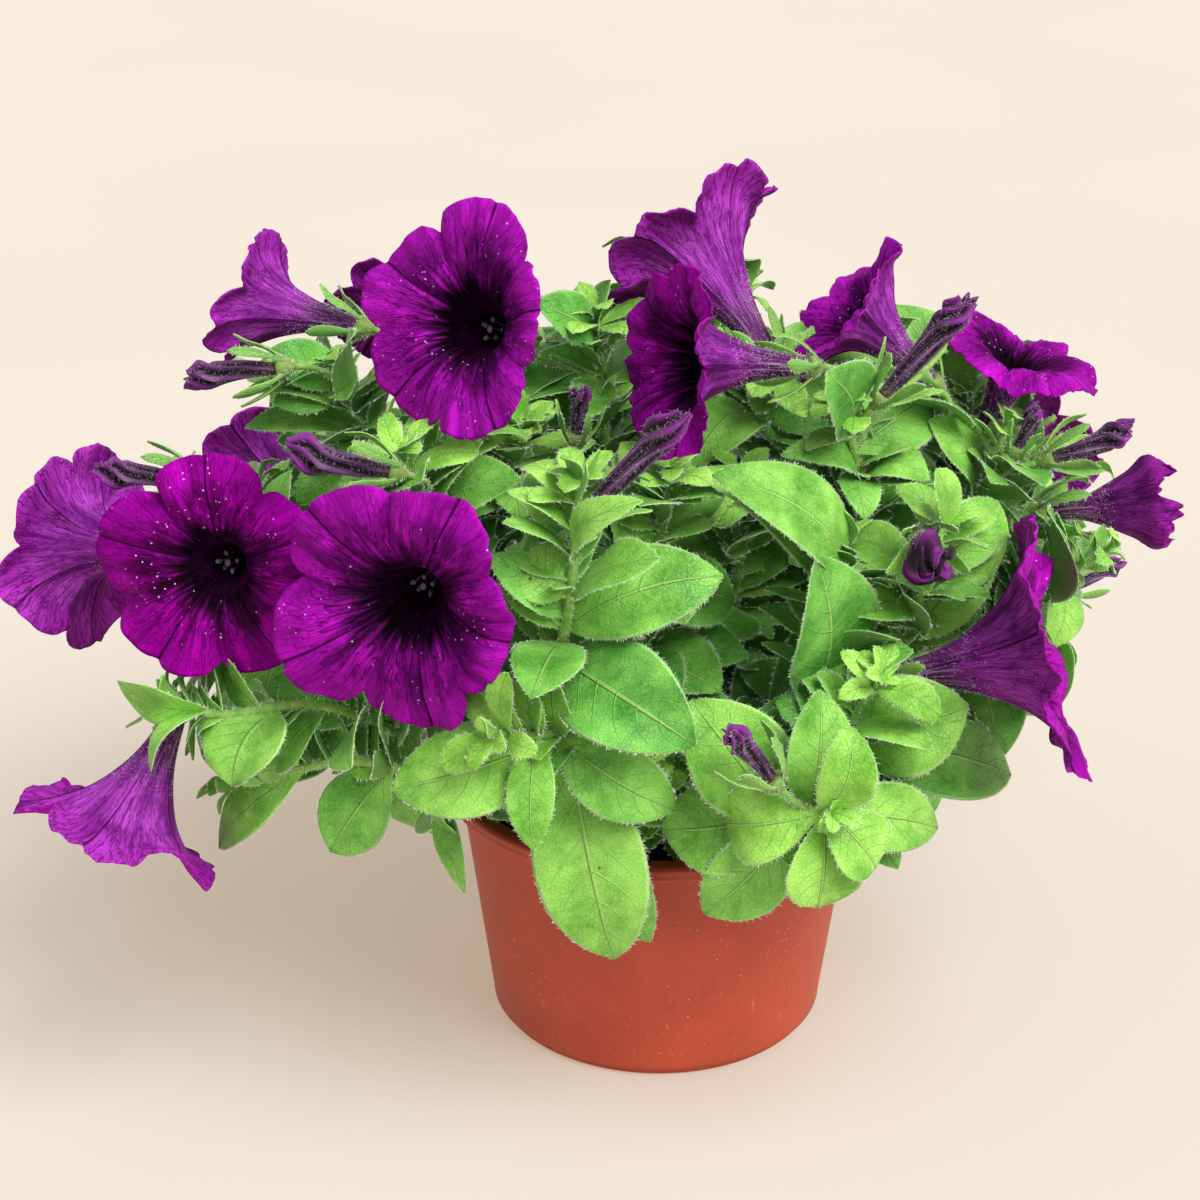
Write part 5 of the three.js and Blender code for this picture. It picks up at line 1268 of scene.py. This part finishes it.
def rough_tree(places):
    """The leaves at some places, as one surface that can be met by rays and by other leaves."""
    points, faces = [], []
    for place in places:
        rings = blade_of(place, 6, 3, np.random.default_rng(1))[0][1:]
        faces += [[corner + len(points) for corner in face] for face in grid(*rings.shape[:2])[:-2]]
        points += rings.reshape(-1, 3).tolist()
    return BVHTree.FromPolygons(points, faces)


def find_places(stem):
    """The leaves that the solids have on a stem: their tips are among the shoot's corners."""
    corners = corners_of("shoot_" + stem.name)
    is_there = lambda place: np.linalg.norm(corners - place["tip"], axis=1).min() < TIP_MATCH
    found = (next(filter(is_there, places_of(stem, slot)), None) for slot in stem.slots)
    return [place for place in found if place]


STEMS = [Stem(shoot, index) for index, shoot in enumerate(SHOOTS)]
for stem in STEMS:
    stem.places = find_places(stem)

FLOWERS = [*BLOOMS, *BUDS]
FLOWER_SURFACES = {
    kind + flower["name"]: surface_of(kind + flower["name"])
    for kind, flowers in (("bloom_", BLOOMS), ("bud_", BUDS))
    for flower in flowers
}
OBSTACLES = [*FLOWER_SURFACES.values(), surface_of("pot"), surface_of("soil")]
SOLIDS = OBSTACLES + [surface_of("shoot_" + stem.name) for stem in STEMS]
# What shows best from the front: nothing more grows before it.
SHOWN_FLOWERS = [surface for name, surface in FLOWER_SURFACES.items() if "_back_" not in name]
LEAVES_BY_HAND = [place for stem in STEMS for place in stem.places if place["by_hand"]]
SHOWN = [*SHOWN_FLOWERS, rough_tree(LEAVES_BY_HAND)]
# Parts of the view that the photo shows open, as [u, v, u, v]: the floor or the rim of the pot.
OPEN = [
    [165, 385, 262, 462], [1035, 375, 1125, 470], [1120, 525, 1180, 615], [1062, 570, 1105, 640],
    [450, 795, 545, 875], [335, 775, 385, 865], [195, 290, 250, 350],
]
MOUTHS = [(seen(b["mouth"]), unit(np.array(b["faces"], float)), b["across"] / 2) for b in BLOOMS]
BEFORE_FACE = -4, 70  # how far behind and before a mouth the space is kept open
LOW, HIGH = (np.array(corner) / MM + inset for corner, inset in zip(CAD_BOX, (1, -1)))
# No leaf's tip is lower than this, and no side shoot's is lower or nearer to the front.
LOWEST_TIP, BRANCH_LOWEST, BRANCH_FRONT = SOIL_TOP - 12, SOIL_TOP + 28, -8
MIDDLES = [mix(place["root"], place["tip"], 0.6) for stem in STEMS for place in stem.places]


def meets(trees, start, point):
    """Whether the line of sight meets one of the surfaces, from `start` on."""
    way = unit(point - EYE)
    return any(tree.ray_cast(start, way)[0] for tree in trees)


def spots_of(place, *shares):
    return (mix(place["root"], place["tip"], share) for share in shares)


def hides(place, shown):
    """Whether a leaf would stand before one of them."""
    return any(meets(shown, point, point) for point in spots_of(place, 0.35, 0.7, 1))


def within_outline(point):
    """Whether the solids already stand before or behind a point, as seen from the front."""
    return meets(SOLIDS, EYE, point)


def in_the_open(place):
    for u, v in map(pixel_of, spots_of(place, 0.6, 0.8, 1)):
        if any(left <= u <= right and top <= v <= bottom for left, top, right, bottom in OPEN):
            return True
    return False


def blocks_face(point):
    """Whether a point is close before the open face of a corolla."""
    for mouth, way, radius in MOUTHS:
        off = point - mouth
        before = off.dot(way)
        aside = np.linalg.norm(off - way * before)
        if BEFORE_FACE[0] < before < BEFORE_FACE[1] and aside < radius * 0.85:
            return True
    return False


def fits(place):
    """Whether a leaf keeps out of the open, of the flowers and of the pot, and hides nothing."""
    tip = place["tip"]
    if np.any(tip <= LOW) or np.any(tip >= HIGH) or tip[2] <= LOWEST_TIP or in_the_open(place):
        return False
    if any(map(blocks_face, spots_of(place, 0.5, 1))) or hides(place, SHOWN):
        return False
    tree = rough_tree([place])
    return not any(tree.overlap(other) for other in OBSTACLES)


# ---------------------------------------------------------------- how the shoots grow

TOWARDS_EYE, BROADER, SHORTER, NARROWER = 0.35, 1.22, 0.5, 0.6
STEM_POINTS, STEM_ROUND, NODE_SWELL, NODE_LENGTH = 60, 10, 0.18, 0.012
SHORT_LEAF = 15  # one that is shorter may stand outside the solids' outline
AXIL_LEAVES, TUFT_LEAVES, BRANCH_TUFT_LEAVES = 2, 9, 5
BRANCHES_AT, BRANCH_TRIES, BRANCH_LONG = (0.2, 0.96, 0.085), 14, (24, 46)
BRANCH_ROOM, BRANCH_CLEAR = 11, 4  # how far its tip has to be from other leaves and from flowers
BRANCH_POINTS, BRANCH_RADII, BRANCH_PAIRS = 12, (1.1, 0.75), (3, 6, 9)
# Holes are looked for in steps of pixels, with leaves within so many steps on all sides.
HOLE_STEP, HOLE_REACH, HOLE_US, HOLE_VS = 8, 9, (200, 1120), (290, 840)
HOLE_DEPTHS, HOLE_ROOTS, HOLE_NEAR, HOLE_FAR = (0, 20, -20, 40, -40, 60), 6, 7, 34


def settle(place):
    """A leaf of the solids: one that the photo shows turns a little to the eye; any other is broader,
    or shorter where it would hide a flower or show against the floor."""
    root, tip = place["root"], place["tip"]
    if place["by_hand"]:
        face = mix(place["up"], unit(EYE - mix(root, tip, 0.5)), TOWARDS_EYE)
        place["up"] = across(unit(tip - root), face)[0]
    elif hides(place, SHOWN_FLOWERS) or in_the_open(place):
        place.update(tip=mix(root, tip, SHORTER), width=place["width"] * NARROWER)
    elif not place["tuft"]:
        place["width"] *= BROADER


def draws_in(rng, *spans):
    return [rng.uniform(low, high) for low, high in spans]


def leaf_on(middle, axis, turn, lean, length, rng, **more):
    """A leaf of the scene's own, at some turn round the stem that bears it."""
    first, second = across(axis, UP)
    out = first * math.cos(turn) + second * math.sin(turn)
    way = unit(out * math.cos(lean) + axis * math.sin(lean))
    root = middle + out
    tip = root + way * length
    up = across(way, facing_out(root, tip) * UPWARD + axis)[0]
    width = length * rng.uniform(0.5, 0.64)
    return dict(root=root, tip=tip, up=up, width=width, arch=RULE_ARCH) | more


class Growth:
    """A shoot as it grows: its stem, its green parts and its hairs."""

    def __init__(self, index, stem):
        self.stem, self.rng = stem, np.random.default_rng(SHOOT_SEED + index)
        self.greens, self.fuzz, self.extras = Piece(), Piece(), []

    def leaf(self, place, tone):
        tone = float(np.clip(tone + self.rng.uniform(-0.22, 0.22), 0, 1))
        add_leaf(self.greens, self.fuzz, place, self.rng, tone)

    def add(self, place, tone):
        """A leaf of the scene's own, if there is room for it."""
        short = np.linalg.norm(place["tip"] - place["root"]) <= SHORT_LEAF
        room = fits(place) and (short or within_outline(place["tip"]))
        if room:
            MIDDLES.append(mix(place["root"], place["tip"], 0.6))
            self.extras.append(place)
            self.leaf(place, tone)
        return room

    def grow(self):
        stem, rng = self.stem, self.rng
        # The stem follows the curve that the solid's straight lengths go along.
        shares = np.linspace(0, 1, STEM_POINTS)
        points = np.array([stem.foot] + [stem.at(t) for t in shares])
        swell = sum(bump_at(shares, node["t"], NODE_LENGTH) for node in stem.nodes[:-2])
        radii = mix(STEM_RADIUS, STEM_TIP_RADIUS, shares) * (1 + NODE_SWELL * np.clip(swell, 0, 1))
        radii = np.r_[STEM_RADIUS, radii]
        add_tube(self.greens, self.fuzz, points, radii, STEM_ROUND, stem.first_side, rng, 0.15)
        top, axis = stem.nodes[-1]["middle"], stem.nodes[-1]["axis"]
        end = np.array([points[-1], mix(points[-1], top, 0.5), top, top + axis * 1.5])
        self.greens.tube(sweep(end, [1.2, 1.1, 0.9, 0.2], 8, stem.first_side), 1, tone=0.0)
        for place in stem.places:
            settle(place)
            if place["tuft"]:
                place.update(blunt=0.6, curl=rng.uniform(0.0, 0.5), width=place["width"] * 1.1)
            self.leaf(place, 0.12 if place["tuft"] else mix(0.95, 0.35, place["t"]))
        self.grow_between()
        self.grow_tuft(top, axis, 0.8 * stem.tuft, TUFT_LEAVES)
        self.grow_branches()
        for flower in FLOWERS:
            if flower["shoot"] == stem.name:
                add_stalk(self.greens, self.fuzz, stem, flower, rng)

    def grow_between(self):
        """Small leaves in the axils, and leaves on the bare lengths of the stem, where there is room."""
        stem, rng = self.stem, self.rng
        for node in stem.nodes[:-2]:
            for _ in range(AXIL_LEAVES):
                turn, lean, length = draws_in(rng, (0, 2 * math.pi), (0.5, 1.1), (7, 14))
                middle, axis = node["middle"], node["axis"]
                self.add(leaf_on(middle, axis, turn, lean, length, rng, blunt=0.5, arch=0.12), 0.3)
        t = 0.05
        while t < 0.95:
            t += rng.uniform(0.014, 0.03)
            turn, lean, length = draws_in(rng, (0, 2 * math.pi), (0.0, 0.8), (19, 40))
            middle, axis = stem.at(min(t, 0.99)), stem.along(min(t, 0.99))
            place = leaf_on(middle, axis, turn, lean, length * mix(1, 0.65, t), rng)
            if within_outline(place["tip"]):
                self.add(place, mix(0.95, 0.5, t))

    def find_branch(self, base, axis):
        """The tip of a side shoot that would have the most room of several, or None."""
        best, most = None, BRANCH_ROOM
        for _ in range(BRANCH_TRIES):
            out = unit(self.rng.normal(size=3) + UP * 0.6 + unit(base - MOUND_CENTRE) * 0.5 + axis * 0.4)
            tip = base + out * self.rng.uniform(*BRANCH_LONG)
            if np.any(tip < LOW + 10) or np.any(tip > HIGH - 12):
                continue
            if tip[1] < BRANCH_FRONT or tip[2] < BRANCH_LOWEST:
                continue
            if not within_outline(tip) or not within_outline(tip + UP * 8) or blocks_face(tip):
                continue
            far = (tree.find_nearest(mix(base, tip, k))[3] for k in (0.5, 1) for tree in OBSTACLES)
            if min(distance or 99 for distance in far) < BRANCH_CLEAR:
                continue
            room = np.min(np.linalg.norm(np.array(MIDDLES) - tip, axis=1))
            trial = dict(root=base, tip=tip, up=across(out, UP)[0], width=16.0, arch=0.0)
            if room > most and not hides(trial, SHOWN):
                best, most = tip, room
        return best

    def grow_branches(self):
        """Side shoots, each with a few pairs of leaves and a tuft, where the plant is still open."""
        rng = self.rng
        for t in np.arange(*BRANCHES_AT):
            base, axis = self.stem.at(t), self.stem.along(t)
            tip = self.find_branch(base, axis)
            if tip is None:
                continue
            bend = base + (axis + unit(tip - base)) * np.linalg.norm(tip - base) * 0.2
            line = bezier([base, bend, mix(base, tip, 0.7) - UP * 2, tip], BRANCH_POINTS)
            radii = np.linspace(*BRANCH_RADII, BRANCH_POINTS)
            add_tube(self.greens, self.fuzz, line, radii, 8, self.stem.first_side, rng, 0.1)
            turn = rng.uniform(0, 2 * math.pi)
            for k in BRANCH_PAIRS:
                way, share = unit(line[k + 1] - line[k - 1]), k / (BRANCH_POINTS - 1)
                for side in (0, math.pi):
                    turn += 0.2
                    length = rng.uniform(0.8, 1.15) * mix(32, 17, share)
                    place = leaf_on(line[k], way, turn + side, rng.uniform(0.2, 0.6), length, rng)
                    self.add(place, mix(0.75, 0.2, share))
                turn += math.pi / 2
            self.grow_tuft(tip, unit(line[-1] - line[-2]), rng.uniform(13, 19), BRANCH_TUFT_LEAVES)
            MIDDLES.append(tip)

    def grow_tuft(self, top, axis, size, count):
        """Young leaves crowd round a tip, the inner ones shorter and more upright."""
        rng = self.rng
        for k in range(count):
            share = k / max(count - 1, 1)
            lean = mix(0.35, 1.25, share) + rng.uniform(-0.1, 0.1)
            length = size * mix(0.85, 0.35, share) * rng.uniform(0.85, 1.15)
            form = dict(blunt=0.8, arch=0.14, curl=rng.uniform(0.1, 0.7))
            place = leaf_on(top, axis, k * 2.4 + rng.uniform(-0.2, 0.2), lean, length, rng, **form)
            place["root"] = place["root"] - (place["root"] - top) * 0.5
            self.add(place, rng.uniform(0.0, 0.2))

    def make(self):
        name = self.stem.name
        self.greens.make("foliage_" + name, "leaf_green", [LEAF, STEM], "shoot_" + name)
        self.fuzz.make("hairs_" + name, "leaf_green", [HAIR])


def fill_holes(growths):
    """Where the floor still shows between the leaves from the front, a leaf of the nearest shoot."""
    own = rough_tree([place for growth in growths for place in growth.extras])
    us, vs = np.arange(*HOLE_US, HOLE_STEP), np.arange(*HOLE_VS, HOLE_STEP)
    met = np.array([[meets([*SOLIDS, own], EYE, seen([u, v, 0.0])) for v in vs] for u in us])
    starts = [(growth, growth.stem.at(t)) for growth in growths for t in np.linspace(0.05, 0.98, 40)]
    roots = np.array([root for _, root in starts])

    def fill(u, v):
        """A leaf over a hole. Gives its surface, or None where nothing fits."""
        for y in HOLE_DEPTHS:
            spot = seen([u, v, y])
            far = np.linalg.norm(roots - spot, axis=1)
            for k in np.argsort(far)[:HOLE_ROOTS]:
                if not HOLE_NEAR < far[k] < HOLE_FAR:
                    continue
                growth, root = starts[k]
                way = unit(spot - root)
                tip = spot + way * 9
                up = across(way, unit(EYE - spot) + facing_out(root, tip) * 0.4)[0]
                width = 0.62 * np.linalg.norm(tip - root)
                place = dict(root=root, tip=tip, up=up, width=width, arch=RULE_ARCH)
                if growth.add(place, 0.8):
                    return rough_tree([place])
        return None

    fills = []
    for i, j in zip(*np.nonzero(~met)):
        left, right = met[max(i - HOLE_REACH, 0) : i, j], met[i + 1 : i + HOLE_REACH, j]
        above, below = met[i, max(j - HOLE_REACH, 0) : j], met[i, j + 1 : j + HOLE_REACH]
        within = all(side.any() for side in (left, right, above, below))
        if within and not meets(fills, EYE, seen([us[i], vs[j], 0.0])):
            surface = fill(us[i], vs[j])
            if surface:
                fills.append(surface)


GROWTHS = [Growth(index, stem) for index, stem in enumerate(STEMS)]
for growth in GROWTHS:
    growth.grow()
fill_holes(GROWTHS)
for growth in GROWTHS:
    growth.make()

flower_fuzz = Piece()
for index, bloom in enumerate(BLOOMS):
    rings, rng = make_corolla(bloom, index), np.random.default_rng(index)
    surface_hairs(flower_fuzz, rings, PETAL_HAIRS, rng, HAIRY_PETAL, PETAL_HAIRS_LONG, FLOWER_HAIR)
for index, bud in enumerate(BUDS):
    (rings, hairy), rng = make_bud(bud, index), np.random.default_rng(BUD_HAIR_SEED + index)
    count = int(BUD_HAIRS * bud["long"])
    surface_hairs(flower_fuzz, rings, count, rng, hairy, BUD_HAIRS_LONG, BUD_HAIR)
flower_fuzz.make("hairs_flowers", "bud_purple", [HAIR])

make_pot()
make_soil()

# ---------------------------------------------------------------- floor, light and camera

FLOOR_EDGE = 60.0  # in metres, from the middle
SKY_COLOUR, SKY_STRENGTH = (1.0, 0.985, 0.965, 1.0), 0.54
KEY_FROM, KEY_STRENGTH, KEY_ANGLE, KEY_COLOUR = (0.52, -0.5, 0.92), 3.7, 45, (1.0, 0.985, 0.96)

plate = bpy.data.meshes.new("floor")
corners = [(x * FLOOR_EDGE, y * FLOOR_EDGE, 0) for x, y in ((-1, -1), (1, -1), (1, 1), (-1, 1))]
plate.from_pydata(corners, [], [(0, 1, 2, 3)])
plate.materials.append(floor_paint())
show("floor", plate)

world = bpy.data.worlds.new("studio")
world.use_nodes = True
sky = world.node_tree.nodes["Background"].inputs
sky[0].default_value, sky[1].default_value = SKY_COLOUR, SKY_STRENGTH
bpy.context.scene.world = world

light = bpy.data.lights.new("key", "SUN")
light.energy, light.angle, light.color = KEY_STRENGTH, math.radians(KEY_ANGLE), KEY_COLOUR
key = show("key", light)
key.rotation_euler = Vector(KEY_FROM).to_track_quat("Z", "Y").to_euler()

lens = bpy.data.cameras.new("camera")
lens.sensor_width, lens.lens = SENSOR, EYE_FOCAL / FRAME_PIXELS * SENSOR
lens.clip_start, lens.clip_end = 0.01, 50
camera = show("camera", lens)
camera.location, camera.rotation_euler = EYE * MM, (math.pi / 2 - EYE_PITCH, 0, 0)
bpy.context.scene.camera = camera
bpy.context.scene.view_settings.view_transform = "Standard"
